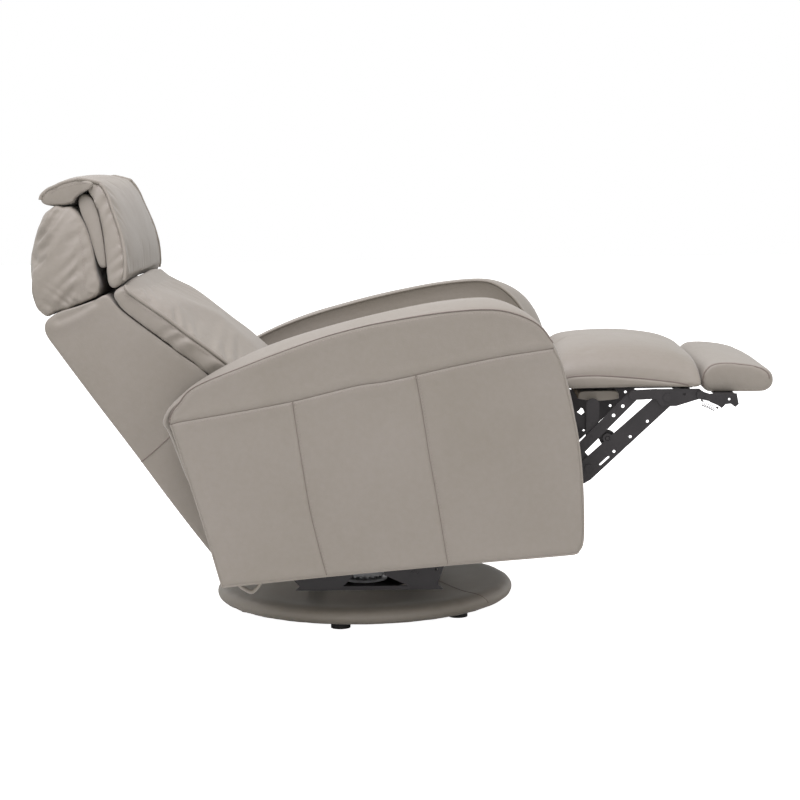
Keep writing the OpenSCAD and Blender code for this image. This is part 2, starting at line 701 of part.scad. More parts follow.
// Legrest links. The lift link carries the main link, and the top link turns the pad.
module lift_link(side) {
    color(steel_black)
        difference() {
            side_slab(side, lift_in, link_t) {
                bar_outline(lift_pivot, lift_end, lift_half, lift_half);
                translate(top_start) circle(r = 12, $fn = CIRCLE);
            }
            side_rod(side, lift_pivot, running_r, lift_in - 1, lift_in + link_t + 1);
            side_rod(side, lift_end, rivet_r, lift_in - 1, lift_in + link_t + 1);
            side_rod(side, top_start, rivet_r, lift_in - 1, lift_in + link_t + 1);
        }
}
module lift_rivets() {
    color(steel_black)
        for (side = [-1, 1])
            for (at = [lift_end, top_start])
                rivet(side, at, lift_in, link_in + link_t + head_play);
}
main_along = (ottoman_pivot - lift_end) / norm(ottoman_pivot - lift_end);
main_up = [-main_along[1], main_along[0]];
slot_len = 22;
module ottoman_link(side) {
    tail = lift_end - 12 * main_along;
    top = ottoman_pivot;
    color(steel_black)
        difference() {
            side_slab(side, link_in, link_t) {
                bar_outline(tail, top, ottoman_link_half, ottoman_link_half - 3);
                polygon([tail, tail + 12 * main_up - 12 * main_along,
                    tail + 2 * main_up - 22 * main_along,
                    tail - (ottoman_link_half - 3) * main_up - 16 * main_along,
                    tail - ottoman_link_half * main_up]);
                translate(cross_end) circle(r = 10, $fn = CIRCLE);
            }
            side_rod(side, lift_end, running_r, link_in - 1, link_in + link_t + 1);
            side_rod(side, ottoman_pivot, rivet_r, link_in - 1, link_in + link_t + 1);
            side_rod(side, cross_end, rivet_r, link_in - 1, link_in + link_t + 1);
            for (k = [60, 104, 150])
                side_rod(side, lift_end + k * main_along - 9 * main_up, 3, link_in - 1,
                    link_in + link_t + 1);
            side_slab(side, link_in - 1, link_t + 2)
                bar_outline(lift_end + 22 * main_along - 10 * main_up,
                    lift_end + (22 + slot_len) * main_along - 10 * main_up, 2, 2);
        }
}
// The rivet to the cross link stands in a wide hole, under a washer: there the closed loop is open
washer_r = 16.5;
washer_t = 1.5;
module ottoman_link_rivets() {
    color(steel_black)
        for (side = [-1, 1]) {
            rivet(side, ottoman_pivot, link_in, bracket_in + link_t + head_play);
            side_rod(side, cross_end, rivet_r - 1, cross_in, link_in + link_t);
            side_rod(side, cross_end, washer_r, cross_in + link_t + head_play,
                cross_in + link_t + head_play + washer_t);
        }
}
module cross_link(side) {
    color(steel_black)
        difference() {
            side_slab(side, cross_in, link_t) {
                bar_outline(cross_pivot, cross_end, cross_link_half, cross_link_half);
                translate(cross_end) circle(r = rivet_r + open_clear + 5, $fn = CIRCLE);
            }
            side_rod(side, cross_pivot, running_r, cross_in - 1, cross_in + link_t + 1);
            side_rod(side, cross_end, rivet_r + open_clear, cross_in - 1, cross_in + link_t + 1);
        }
}
top_along = (top_end - top_start) / norm(top_end - top_start);
module top_link(side) {
    color(steel_black)
        difference() {
            side_slab(side, link_in, link_t)
                bar_outline(top_start, top_end, top_link_half, top_link_half);
            side_rod(side, top_start, running_r, link_in - 1, link_in + link_t + 1);
            side_rod(side, top_end, rivet_r + top_open_clear, link_in - 1, link_in + link_t + 1);
            for (k = [112, 138])
                side_rod(side, top_start + k * top_along, 3.5, link_in - 1, link_in + link_t + 1);
        }
}

// Small leather-wrapped board that fills the gap behind the main pad
board_y = platform_in - 1;
BOARD_X = [445, 527];
board_top = 476;
module gap_board() {
    t = gap_board_t;
    GAP = [
        [BOARD_X[0] + 3, board_top - t + 4, 0, 0], [BOARD_X[0], board_top - t / 2, 0, 0],
        [BOARD_X[0] + 6, board_top - 1, 0, 0], [(BOARD_X[0] + BOARD_X[1]) / 2, board_top, 0, 1],
        [BOARD_X[1] - 6, board_top - 1, 0, 0], [BOARD_X[1], board_top - t / 2, 0, 0],
        [BOARD_X[1] - 4, board_top - t + 3, 0, 0], [(BOARD_X[0] + BOARD_X[1]) / 2, board_top - t, 0, 0]
    ];
    color(leather_dark) cushion(GAP, board_y, pull = 0);
}

// Bracket of the gap board: a foot on the top link, an upright and a curved arm
foot_at = 48;
module gap_board_brackets() {
    foot = top_start + foot_at * top_along;
    upright_top = [474, board_top - gap_board_t - seat_gap];
    color(steel_black)
        for (side = [-1, 1]) {
            side_slab(side, lift_in, link_t) {
                bar_outline(foot, [474, 432], 11, 13);
                bar_outline([474, 432], [474, upright_top[1] - 6], 13, 13);
            }
            translate([467, side > 0 ? board_y - 30 : -(lift_in + link_t), upright_top[1] - 4])
                cube([16, lift_in + link_t - board_y + 30, 4]);
        }
}

// Bracket under the main pad
module ottoman_bracket(side) {
    out = bracket_in + link_t + 1;
    color(steel_black)
        difference() {
            side_slab(side, bracket_in, link_t) {
                polygon([[686, 480.6], [590, 480.6], [596, 464], [610, 446], [640, 446], [680, 458],
                    [694, 462], [696, 472]]);
                translate(foot_pivot) circle(r = 9, $fn = CIRCLE);
                bar_outline(top_end, [600, 471], 10, 10);
            }
            side_rod(side, ottoman_pivot, running_r, bracket_in - 1, out);
            side_rod(side, top_end, rivet_r, bracket_in - 1, out);
            side_rod(side, foot_pivot, rivet_r, bracket_in - 1, out);
            side_rod(side, [656, 470], 3, bracket_in - 1, out);
        }
}
tube_side = 18;
module ottoman_cross_tube() {
    color(steel_black)
        translate([650, -bracket_in, underside_z - seat_gap - tube_side])
            cube([tube_side, 2 * bracket_in, tube_side]);
}
module ottoman_rivets() {
    color(steel_black)
        for (side = [-1, 1]) {
            side_rod(side, top_end, rivet_r, link_in, bracket_in + link_t);
            rivet(side, foot_pivot, bracket_in, foot_arm_in + link_t + head_play);
        }
}
underside_z = 481;
board_t = 2.5;
pad_z = underside_z + board_t + seat_gap;
module ottoman_underside() {
    color(black_cloth)
        translate([436, -ottoman_w / 2 + 16, underside_z])
            cube([238, ottoman_w - 32, board_t]);
}
module ottoman_pad() {
    c = ottoman_crown;
    PAD = [
        [414, 488, -5, 0], [410, 496, -16, 0.15 * c], [413, 504, -18, 0.5 * c], [432, 508, -8, 0.86 * c],
        [506, 507, 0, c], [570, 502, 0, 1.05 * c], [631, 494, 0, 1.04 * c], [662, 491, 0, 0.92 * c],
        [680, 490, 0, 0.72 * c], [687, 488, 0, 0.36 * c], [683, pad_z + 1, 0, 0], [672, pad_z, 0, 0],
        [640, pad_z, 0, 0], [540, pad_z, 0, 0], [440, pad_z, 0, 0], [424, pad_z + 0.6, 0, 0]
    ];
    color(leather) cushion(PAD, ottoman_w / 2, shoulder = BOXED);
}

// Foot pad on two short arms that fold it under the main pad
module foot_arm(side) {
    inner = foot_arm_in;
    color(steel_black)
        difference() {
            side_slab(side, inner, link_t) {
                bar_outline(foot_pivot, [712, 461], 8, 7);
                polygon([[706, 454], [722, 447], [730, 441], [738, 449], [748, 450], [757, 443],
                    [764, 449], [760, foot_z - seat_gap], [708, foot_z - seat_gap]]);
            }
            side_rod(side, foot_pivot, running_r, inner - 1, inner + link_t + 1);
            side_rod(side, [745, 459], 2.5, inner - 1, inner + link_t + 1);
        }
    color(steel_black) {
        translate([716, side > 0 ? inner - foot_flange_w : -inner - link_t, foot_z - seat_gap - link_t])
            cube([40, foot_flange_w + link_t, link_t]);
        for (k = [0, 1])
            side_rod(side, spring_hook(k), hook_r, inner + link_t, spring_y + 2);
    }
}
foot_z = 471;
foot_flange_w = 60;
module foot_pad() {
    FOOT = [
        [702, 474, 0, 0], [693, 486, 0, 0], [695, 507, 0, 4], [706, 522, 0, 7], [722, 529, 0, 8],
        [760, 529, 1, 8], [804, 522, 4, 7], [826, 511, 11, 2], [831, 494, 13, 0], [828, 479, 10, 1],
        [815, 472, 4, 0], [782, foot_z, 0, 0], [730, foot_z, 0, 0], [714, foot_z + 0.5, 0, 0]
    ];
    color(leather) cushion(FOOT, foot_w / 2, shoulder = BOXED);
}

// Tension spring beside each foot arm, wound as one unbroken wire
spring_r = 4.5;
wire_r = 0.9;
spring_turns = 7;
spring_from = [691, 452];
spring_to = [716, 440];
RINGS_PER_TURN = 8;
hook_r = 2;
spring_unit = (spring_to - spring_from) / norm(spring_to - spring_from);
spring_across = [-spring_unit[1], spring_unit[0]];
spring_y = foot_arm_in + link_t + spring_r + wire_r + seat_gap;
function spring_hook(end) =
    (end > 0 ? spring_to : spring_from) + spring_r * spring_across
    + (end > 0 ? 1 : -1) * (hook_r + wire_r + seat_gap) * spring_unit;
function spring_point(k) =
    let (u = k / (spring_turns * RINGS_PER_TURN), a = 360 * k / RINGS_PER_TURN,
        p = spring_from + u * (spring_to - spring_from) + spring_r * cos(a) * spring_across)
    [p[0], spring_r * sin(a), p[1]];
module wire(points, r) {
    n = len(points);
    rings = [for (i = [0 : n - 1])
        let (ahead = points[min(i + 1, n - 1)] - points[max(i - 1, 0)], t = ahead / norm(ahead),
            side_way = cross(t, [0.43, 0.1, 0.9]), u = side_way / norm(side_way), v = cross(t, u))
        [for (a = [0 : 60 : 300]) points[i] + r * (cos(a) * u + sin(a) * v)]];
    skin(rings);
}
spring_line = [for (k = [0 : spring_turns * RINGS_PER_TURN]) spring_point(k)];

// Least gap of the wire to itself, between points that lie half a turn or more apart
spring_free = min([for (i = [0 : len(spring_line) - 1])
    for (j = [i + RINGS_PER_TURN / 2 : len(spring_line) - 1])
        norm(spring_line[i] - spring_line[j])]) - 2 * wire_r;
echo(least_gap_of_the_spring_wire = spring_free);
module foot_springs() {
    color(zinc)
        for (side = [-1, 1])
            translate([0, side * spring_y, 0])
                wire(spring_line, wire_r);
}

base_disc();
base_underside();
base_glides();
swivel_lower_ring();
swivel_upper_ring();
swivel_balls();
swivel_bolt();
platform_frame();
platform_plate(1);  // left_platform_plate
platform_plate(-1);  // right_platform_plate
glide_link(1, rear_hang, rear_carry, running_r);  // left_rear_glide_link
glide_link(-1, rear_hang, rear_carry, running_r);  // right_rear_glide_link
glide_link(1, front_hang, front_carry, rivet_r + glide_open_clear);  // left_front_glide_link
glide_link(-1, front_hang, front_carry, rivet_r + glide_open_clear);  // right_front_glide_link
side_plate(1);  // left_side_plate
side_plate(-1);  // right_side_plate
arm(1);  // left_arm
arm(-1);  // right_arm
arm_spacers();
seat_rail(1);  // left_seat_rail
seat_rail(-1);  // right_seat_rail
front_seat_rail();
rear_seat_rail();
seat_webbing();
seat_cushion();
seat_rivets();
back_shell();
back_cushion();
back_plate(1);  // left_back_plate
back_plate(-1);  // right_back_plate
headrest_hinges();
headrest_pillow();
headrest_board();
headrest_cushion();
headrest_hood();
headrest_knuckles();
lift_link(1);  // left_lift_link
lift_link(-1);  // right_lift_link
lift_rivets();
ottoman_link(1);  // left_ottoman_link
ottoman_link(-1);  // right_ottoman_link
ottoman_link_rivets();
cross_link(1);  // left_cross_link
cross_link(-1);  // right_cross_link
top_link(1);  // left_top_link
top_link(-1);  // right_top_link
gap_board();
gap_board_brackets();
ottoman_bracket(1);  // left_ottoman_bracket
ottoman_bracket(-1);  // right_ottoman_bracket
ottoman_cross_tube();
ottoman_underside();
ottoman_pad();
ottoman_rivets();
foot_arm(1);  // left_foot_arm
foot_arm(-1);  // right_foot_arm
foot_pad();
foot_springs();
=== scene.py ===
"""Leather swivel glider recliner, shown reclined with its legrest out.

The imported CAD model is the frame. Everything upholstered is remade here in leather, with its
seams, piping, stitching and folds. The steelwork is the CAD's own, with better finishes.
Metres, +Z up, the sitter faces +X and the camera looks at the sitter's right side, at -Y.
"""

import json
import math

import bpy
import numpy as np
from mathutils import Matrix, Vector
from mathutils.bvhtree import BVHTree


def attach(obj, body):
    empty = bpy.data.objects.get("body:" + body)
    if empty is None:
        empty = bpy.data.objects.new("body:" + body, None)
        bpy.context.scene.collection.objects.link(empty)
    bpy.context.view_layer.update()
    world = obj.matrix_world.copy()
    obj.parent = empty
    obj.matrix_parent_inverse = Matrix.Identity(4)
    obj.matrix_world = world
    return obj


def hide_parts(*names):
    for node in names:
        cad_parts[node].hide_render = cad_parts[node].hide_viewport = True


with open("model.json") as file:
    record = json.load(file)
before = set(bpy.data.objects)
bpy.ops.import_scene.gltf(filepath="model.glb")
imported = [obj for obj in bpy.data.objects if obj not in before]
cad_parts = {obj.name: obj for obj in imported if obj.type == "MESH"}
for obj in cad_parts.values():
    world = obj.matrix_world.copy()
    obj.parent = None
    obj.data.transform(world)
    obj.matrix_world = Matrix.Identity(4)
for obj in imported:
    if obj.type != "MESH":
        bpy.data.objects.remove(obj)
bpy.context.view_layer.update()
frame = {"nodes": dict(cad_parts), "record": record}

# Camera. The photograph was taken from the sitter's right with a long lens, a little above the
# seat and about four metres off. The camera was fitted to the base disc, both arms and the pads.
CAMERA_AT = (0.184, -4.383, 0.959)
CAMERA_DOWN = math.radians(6.83)
CAMERA_TURN = math.radians(1.34)
CAMERA_ROLL = math.radians(-0.86)
ahead = Vector((-math.sin(CAMERA_TURN) * math.cos(CAMERA_DOWN),
                math.cos(CAMERA_TURN) * math.cos(CAMERA_DOWN), -math.sin(CAMERA_DOWN)))
level = Vector((math.cos(CAMERA_TURN), math.sin(CAMERA_TURN), 0))
over = level.cross(ahead)
right = level * math.cos(CAMERA_ROLL) + over * math.sin(CAMERA_ROLL)
upward = over * math.cos(CAMERA_ROLL) - level * math.sin(CAMERA_ROLL)
camera = bpy.data.objects.new("camera", bpy.data.cameras.new("camera"))
bpy.context.scene.collection.objects.link(camera)
camera.matrix_world = Matrix((
    (right.x, upward.x, -ahead.x, CAMERA_AT[0]),
    (right.y, upward.y, -ahead.y, CAMERA_AT[1]),
    (right.z, upward.z, -ahead.z, CAMERA_AT[2]),
    (0, 0, 0, 1)))
camera.data.sensor_width = 36
camera.data.lens = 93.24
bpy.context.scene.camera = camera


# Studio. A white sweep of paper in a pale room, with one large soft lamp high on the camera's
# side, one from the front and one behind, so the leather keeps gentle shading from top to bottom.
def linear(code):
    """Linear RGBA of an sRGB hex colour: ((c + 0.055) / 1.055) to the power 2.4 above 0.04045, and
    c / 12.92 below."""
    c = np.array([int(code[i:i + 2], 16) for i in (1, 3, 5)]) / 255
    c = np.where(c > 0.04045, ((c + 0.055) / 1.055) ** 2.4, c / 12.92)
    return (*c.tolist(), 1.0)


def add_node(material, kind, inputs=None, **settings):
    """Adds a shader node, sets its properties, and fills or links its inputs by name or number."""
    tree = material.node_tree
    made = tree.nodes.new(kind)
    for name, value in settings.items():
        setattr(made, name, value)
    for name, value in (inputs or {}).items():
        if isinstance(value, bpy.types.NodeSocket):
            tree.links.new(value, made.inputs[name])
        else:
            made.inputs[name].default_value = value
    return made


def new_material(name):
    """An empty node material and its Principled shader."""
    material = bpy.data.materials.new(name)
    material.use_nodes = True
    return material, material.node_tree.nodes["Principled BSDF"]


scene = bpy.context.scene
scene.view_settings.view_transform = "Standard"
world = bpy.data.worlds.new("pale_room")
scene.world = world
world.use_nodes = True
room = world.node_tree.nodes["Background"]
rays = add_node(world, "ShaderNodeLightPath")
white_seen = add_node(world, "ShaderNodeMath", {0: rays.outputs["Is Camera Ray"],
                      1: rays.outputs["Is Glossy Ray"]}, operation="MAXIMUM")
strength = add_node(world, "ShaderNodeMapRange", {"Value": white_seen.outputs[0],
                    "To Min": 0.62, "To Max": 1.0})
room.inputs["Color"].default_value = linear("#ffffff")
world.node_tree.links.new(strength.outputs["Result"], room.inputs["Strength"])

# Each lamp's place, what it is aimed at, its side, its watts and its tint
LAMPS = {"soft_box": ((-0.6, -1.3, 3.7), (0.0, 0.0, 0.45), 2.6, 138, "#f8f4fd"),
         "front_panel": ((3.0, -1.2, 2.4), (0.3, 0.0, 0.5), 1.6, 20, "#fff6f6"),
         "back_panel": ((-2.4, 2.4, 2.6), (-0.2, 0.0, 0.5), 2.0, 20, "#fff4f4")}
for name, (at, target, side, watts, tint) in LAMPS.items():
    lamp = bpy.data.objects.new(name, bpy.data.lights.new(name, "AREA"))
    lamp.data.shape = "SQUARE"
    lamp.data.size = side
    lamp.data.energy = watts
    lamp.data.color = linear(tint)[:3]
    lamp.location = at
    lamp.rotation_mode = "QUATERNION"
    lamp.rotation_quaternion = (Vector(target) - Vector(at)).to_track_quat("-Z", "Y")
    scene.collection.objects.link(lamp)

sweep = bpy.data.meshes.new("paper_sweep")
sweep.from_pydata([(-14, -14, 0), (14, -14, 0), (14, 14, 0), (-14, 14, 0)], [], [(0, 1, 2, 3)])
paper_sweep = bpy.data.objects.new("paper_sweep", sweep)
scene.collection.objects.link(paper_sweep)
paper, paper_shader = new_material("white_paper")
paper_shader.inputs["Base Color"].default_value = linear("#f4f3f1")
paper_shader.inputs["Roughness"].default_value = 0.9
paper_shader.inputs["Emission Color"].default_value = linear("#ffffff")
seen = add_node(paper, "ShaderNodeLightPath")
glow = add_node(paper, "ShaderNodeMapRange", {"Value": seen.outputs["Is Camera Ray"],
                "To Min": 0.0, "To Max": 1.0})
paper.node_tree.links.new(glow.outputs["Result"], paper_shader.inputs["Emission Strength"])
sweep.materials.append(paper)


# Base disc. A round board padded at its rim and wrapped in the chair's leather, with one seam
# across the leather. It stands on the CAD's black glides, and the zinc rings sit in its middle.
def leather_material(name, shade, lit):
    """Corrected-grain upholstery cowhide, dyed taupe: fine pebble grain, drawn three times as
    coarse as the real one millimetre so that it shows, soft satin sheen, and faint cloudy colour."""
    material, shader = new_material(name)
    place = add_node(material, "ShaderNodeTexCoord").outputs["Object"]
    cloud = add_node(material, "ShaderNodeTexNoise", {"Vector": place, "Scale": 4.0, "Detail": 5.0,
                     "Roughness": 0.55})
    mottle = add_node(material, "ShaderNodeTexNoise", {"Vector": place, "Scale": 95.0, "Detail": 3.0})
    both = add_node(material, "ShaderNodeMix", {0: 0.3, 2: cloud.outputs["Fac"], 3: mottle.outputs["Fac"]})
    tone = add_node(material, "ShaderNodeValToRGB", {"Fac": both.outputs[0]})
    for stop, at, code in zip(tone.color_ramp.elements, (0.3, 0.7), (shade, lit)):
        stop.position = at
        stop.color = linear(code)
    pebble = add_node(material, "ShaderNodeTexVoronoi", {"Vector": place, "Scale": 330.0,
                      "Randomness": 1.0}, feature="SMOOTH_F1")
    pores = add_node(material, "ShaderNodeTexNoise", {"Vector": place, "Scale": 620.0, "Detail": 2.0})
    soft = add_node(material, "ShaderNodeTexNoise", {"Vector": place, "Scale": 26.0, "Detail": 3.0,
                    "Roughness": 0.6})
    fine = add_node(material, "ShaderNodeMath", {0: pebble.outputs["Distance"], 1: pores.outputs["Fac"]},
                    operation="ADD")
    bump = add_node(material, "ShaderNodeBump", {"Height": fine.outputs[0], "Strength": 0.14,
                    "Distance": 0.0008})
    undulate = add_node(material, "ShaderNodeBump", {"Height": soft.outputs["Fac"],
                        "Normal": bump.outputs[0], "Strength": 0.08, "Distance": 0.006})
    gloss = add_node(material, "ShaderNodeMapRange", {"Value": soft.outputs["Fac"], "To Min": 0.47,
                     "To Max": 0.6})
    links = material.node_tree.links
    links.new(tone.outputs["Color"], shader.inputs["Base Color"])
    links.new(undulate.outputs[0], shader.inputs["Normal"])
    links.new(gloss.outputs["Result"], shader.inputs["Roughness"])
    shader.inputs["IOR"].default_value = 1.45
    shader.inputs["Sheen Weight"].default_value = 0.12
    shader.inputs["Sheen Roughness"].default_value = 0.45
    return material


def mottled_material(name, kind, size, dark, light, gloss, stops=(0, 1), relief=None, stretch=None,
                     metallic=0.0):
    """A material coloured from dark to light by one pattern of the given kind and size. Gloss is its
    roughness, or the roughness at the pattern's two ends. Relief is the size, strength and depth of
    a bump of the same kind, and stretch the pattern's scale along each axis."""
    material, shader = new_material(name)
    links = material.node_tree.links
    place = add_node(material, "ShaderNodeTexCoord").outputs["Object"]
    if stretch:
        place = add_node(material, "ShaderNodeMapping", {"Vector": place, "Scale": stretch}).outputs[0]
    pattern = add_node(material, kind, {"Vector": place, **size})
    tone = add_node(material, "ShaderNodeValToRGB", {"Fac": pattern.outputs[0]})
    for stop, at, code in zip(tone.color_ramp.elements, stops, (dark, light)):
        stop.position = at
        stop.color = linear(code)
    links.new(tone.outputs["Color"], shader.inputs["Base Color"])
    if relief:
        fine = add_node(material, kind, {"Vector": place, **relief[0]})
        bump = add_node(material, "ShaderNodeBump", {"Height": fine.outputs[0], "Strength": relief[1],
                        "Distance": relief[2]})
        links.new(bump.outputs[0], shader.inputs["Normal"])
    if isinstance(gloss, tuple):
        spread = add_node(material, "ShaderNodeMapRange", {"Value": pattern.outputs[0],
                          "To Min": gloss[0], "To Max": gloss[1]})
        links.new(spread.outputs["Result"], shader.inputs["Roughness"])
    else:
        shader.inputs["Roughness"].default_value = gloss
    shader.inputs["Metallic"].default_value = metallic
    return material


NOISE, CELLS = "ShaderNodeTexNoise", "ShaderNodeTexVoronoi"
taupe_hide = leather_material("taupe_cowhide", "#868075", "#8e887f")
# A darker copy of the same hide for the thin seam cords: painted shade of the seam grooves, not leather of
# another colour
painted_seam_shade = leather_material("taupe_cowhide_painted_seam_shade", "#6a6059", "#776d65")

# Bonded nylon sewing thread, twisted and a shade lighter than the hide
thread = mottled_material("sewing_thread", NOISE, {"Scale": 900.0, "Detail": 1.0}, "#857b73", "#a0968e",
                          0.55)


def grid_mesh(name, rows, material, closed=True, cap=True):
    """Skin over a grid of points, rows by columns by xyz: each four neighbours make a face.
    Closed joins the last column to the first, and cap closes both end rows to their mean point."""
    rows = np.asarray(rows, float)
    m, n, _ = rows.shape
    points = rows.reshape(-1, 3)
    i, j = np.meshgrid(np.arange(m - 1), np.arange(n if closed else n - 1), indexing="ij")
    k = (j + 1) % n
    faces = np.stack([i * n + j, i * n + k, (i + 1) * n + k, (i + 1) * n + j], -1).reshape(-1, 4).tolist()
    if cap:
        points = np.vstack([points, rows[0].mean(0), rows[-1].mean(0)])
        j = np.arange(n)
        k = (j + 1) % n
        faces += np.stack([np.full(n, m * n), k, j], -1).tolist()
        faces += np.stack([np.full(n, m * n + 1), (m - 1) * n + j, (m - 1) * n + k], -1).tolist()
    mesh = bpy.data.meshes.new(name)
    mesh.from_pydata(points.tolist(), [], faces)
    mesh.shade_smooth()
    mesh.materials.append(material)
    made = bpy.data.objects.new(name, mesh)
    scene.collection.objects.link(made)
    return made


def stretch_between(a, b, c, d, t):
    """Catmull-Rom curve from b to c at the shares t: half of 2b + (c - a) t
    + (2a - 5b + 4c - d) t squared + (3b - a - 3c + d) t cubed."""
    return 0.5 * (2 * b + (c - a) * t + (2 * a - 5 * b + 4 * c - d) * t ** 2
                  + (3 * b - a - 3 * c + d) * t ** 3)


def smooth_line(points, count):
    """Open Catmull-Rom line through the points, at even steps of its parameter."""
    p = np.asarray(points, float)
    p = np.vstack([2 * p[0] - p[1], p, 2 * p[-1] - p[-2]])
    t = np.linspace(0, len(p) - 3, count)
    i = np.minimum(t.astype(int), len(p) - 4)
    return stretch_between(*(p[i + k] for k in range(4)), (t - i)[:, None])


def tube(path, radius, sides=8):
    """Rings round a path: each ring is radius times cos and sin in the plane square to the path."""
    path = np.asarray(path, float)
    ahead = np.gradient(path, axis=0)
    ahead /= np.linalg.norm(ahead, axis=1, keepdims=True) + 1e-12
    guide = np.tile(np.array([0.13, 0.31, 0.94]), (len(path), 1))
    guide[np.abs((guide * ahead).sum(1)) > 0.97] = (1.0, 0.1, 0.0)
    u = np.cross(ahead, guide)
    u /= np.linalg.norm(u, axis=1, keepdims=True)
    v = np.cross(ahead, u)
    angle = np.linspace(0, 2 * np.pi, sides, endpoint=False)
    radius = np.broadcast_to(np.asarray(radius, float).reshape(-1, 1, 1), (len(path), 1, 1))
    return path[:, None] + radius * (np.cos(angle)[None, :, None] * u[:, None]
                                     + np.sin(angle)[None, :, None] * v[:, None])


def cord_piece(name, path, radius, body, material=taupe_hide):
    """A welt: a thin tube of leather sewn into a seam. In the darker seam material it is a thin line of
    painted seam shade.
    """
    made = grid_mesh(name, tube(path, radius), material)
    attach(made, body)


def lengths(path):
    """Running length along a path of points."""
    return np.r_[0, np.cumsum(np.linalg.norm(np.diff(path, axis=0), axis=1))]


def stitches(name, path, body, pitch=0.0062, length=0.0042, radius=0.00055):
    """A row of stitches: one short six-sided grain of thread at every pitch along the path."""
    path = np.asarray(path, float)
    run = lengths(path)
    starts = np.arange(0, run[-1] - length, pitch)
    at = lambda s: np.stack([np.interp(s, run, path[:, k]) for k in range(3)], -1)
    along = at(starts + length) - at(starts)
    along /= np.linalg.norm(along, axis=1, keepdims=True)
    u = np.cross(along, (0.31, 0.22, 0.93))
    u /= np.linalg.norm(u, axis=1, keepdims=True)
    v = np.cross(along, u)
    angle = np.linspace(0, 2 * np.pi, 6, endpoint=False)
    spokes = np.cos(angle)[None, :, None] * u[:, None] + np.sin(angle)[None, :, None] * v[:, None]
    rings = [at(starts + share * length)[:, None] + fat * radius * spokes
             for share, fat in ((0, 0.3), (0.2, 1), (0.8, 1), (1, 0.3))]
    points = np.stack(rings, 1).reshape(-1, 3)
    base = np.arange(len(starts))[:, None, None] * 24
    ring, spoke = np.meshgrid(np.arange(3) * 6, np.arange(6), indexing="ij")
    after = (spoke + 1) % 6
    quads = np.stack([ring + spoke, ring + after, ring + 6 + after, ring + 6 + spoke], -1).reshape(1, -1, 4)
    ends = np.array([[5, 4, 3, 2, 1, 0], [18, 19, 20, 21, 22, 23]])[None]
    faces = (base + quads).reshape(-1, 4).tolist() + (base + ends).reshape(-1, 6).tolist()
    mesh = bpy.data.meshes.new(name)
    mesh.from_pydata(points.tolist(), [], faces)
    mesh.materials.append(thread)
    made = bpy.data.objects.new(name, mesh)
    scene.collection.objects.link(made)
    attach(made, body)


turn = np.linspace(0, 2 * np.pi, 320, endpoint=False)
# distance from the swivel axis and height, from under the rim over its top to the rings
profile = np.array([(0.262, 0.0122), (0.280, 0.0125), (0.298, 0.0155), (0.3105, 0.0215), (0.3150, 0.0292),
                    (0.3140, 0.0375), (0.307, 0.0443), (0.294, 0.0480), (0.276, 0.0480), (0.252, 0.0462),
                    (0.220, 0.0458), (0.180, 0.0466), (0.140, 0.0474), (0.106, 0.0477)])
lathe = smooth_line(profile, 80)
radius = lathe[:, 0, None] + 0 * turn
height = lathe[:, 1, None] + 0 * turn
# the leather is drawn round the rim in small puckers that fade towards the middle
rim = np.exp(-((radius - 0.306) / 0.011) ** 2)
height = height + 0.0007 * rim * (np.sin(31 * turn + 1.3 * np.sin(7 * turn)) * 0.5 + 0.4 * np.sin(67 * turn)
                                  * (0.5 + 0.5 * np.sin(5 * turn)))
disc_cover = grid_mesh("disc_cover", np.stack([radius * np.cos(turn), radius * np.sin(turn), height], -1),
                       taupe_hide, cap=False)
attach(disc_cover, "base")
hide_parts("base_disc")


skin_trees = {}


def on_skin(piece, path, lift=0.0):
    """The path's points laid on the nearest places of a piece's skin, and lifted along its normals."""
    if piece.name not in skin_trees:
        mesh = piece.data
        points = np.empty(len(mesh.vertices) * 3)
        mesh.vertices.foreach_get("co", points)
        skin_trees[piece.name] = BVHTree.FromPolygons(points.reshape(-1, 3).tolist(),
                                                      [tuple(face.vertices) for face in mesh.polygons])
    laid = []
    for p in np.asarray(path, float):
        place, normal, _, _ = skin_trees[piece.name].find_nearest(Vector(p))
        laid.append(np.array(place) + lift * np.array(normal))
    return np.array(laid)


# the disc's seam is drawn as a thin sunken cord in painted seam shade
seam_way = smooth_line([(0.135, 0.02, 0.05), (0.19, -0.09, 0.05), (0.232, -0.165, 0.048),
                        (0.256, -0.182, 0.045), (0.262, -0.176, 0.03)], 90)
cord_piece("disc_seam", on_skin(disc_cover, seam_way, -0.0003), 0.0011, "base", painted_seam_shade)


# Cushions in general. Each one is a closed leather skin over foam. Its outline on the side seam is drawn in
# the chair's side view in millimetres, with the middle's rise beside each point that has one, and the soft
# ones are later blown up by a short cloth simulation while their seams are held.
def closed_outline(points, count):
    """Closed Catmull-Rom outline through points of any width, resampled to even lengths."""
    p = np.asarray(points, float)
    n = len(p)
    t = np.linspace(0, n, n * 24, endpoint=False)
    i = t.astype(int)
    q = stretch_between(*(p[(i + k) % n] for k in (-1, 0, 1, 2)), (t - i)[:, None])
    loop = np.vstack([q, q[:1]])
    run = lengths(loop[:, :2])
    want = np.linspace(0, run[-1], count, endpoint=False)
    return np.stack([np.interp(want, run, loop[:, k]) for k in range(loop.shape[1])], -1)


def side_reach(x, z, box, half, pull, taper):
    """Distance of a cushion's side from the middle plane: half, less pull times 1 - u squared along
    the cushion, less taper times the height's share."""
    u = (x - (box[0] + box[1]) / 2) / ((box[1] - box[0]) / 2)
    return half - pull * (1 - u ** 2) - taper * (z - box[2]) / (box[3] - box[2])


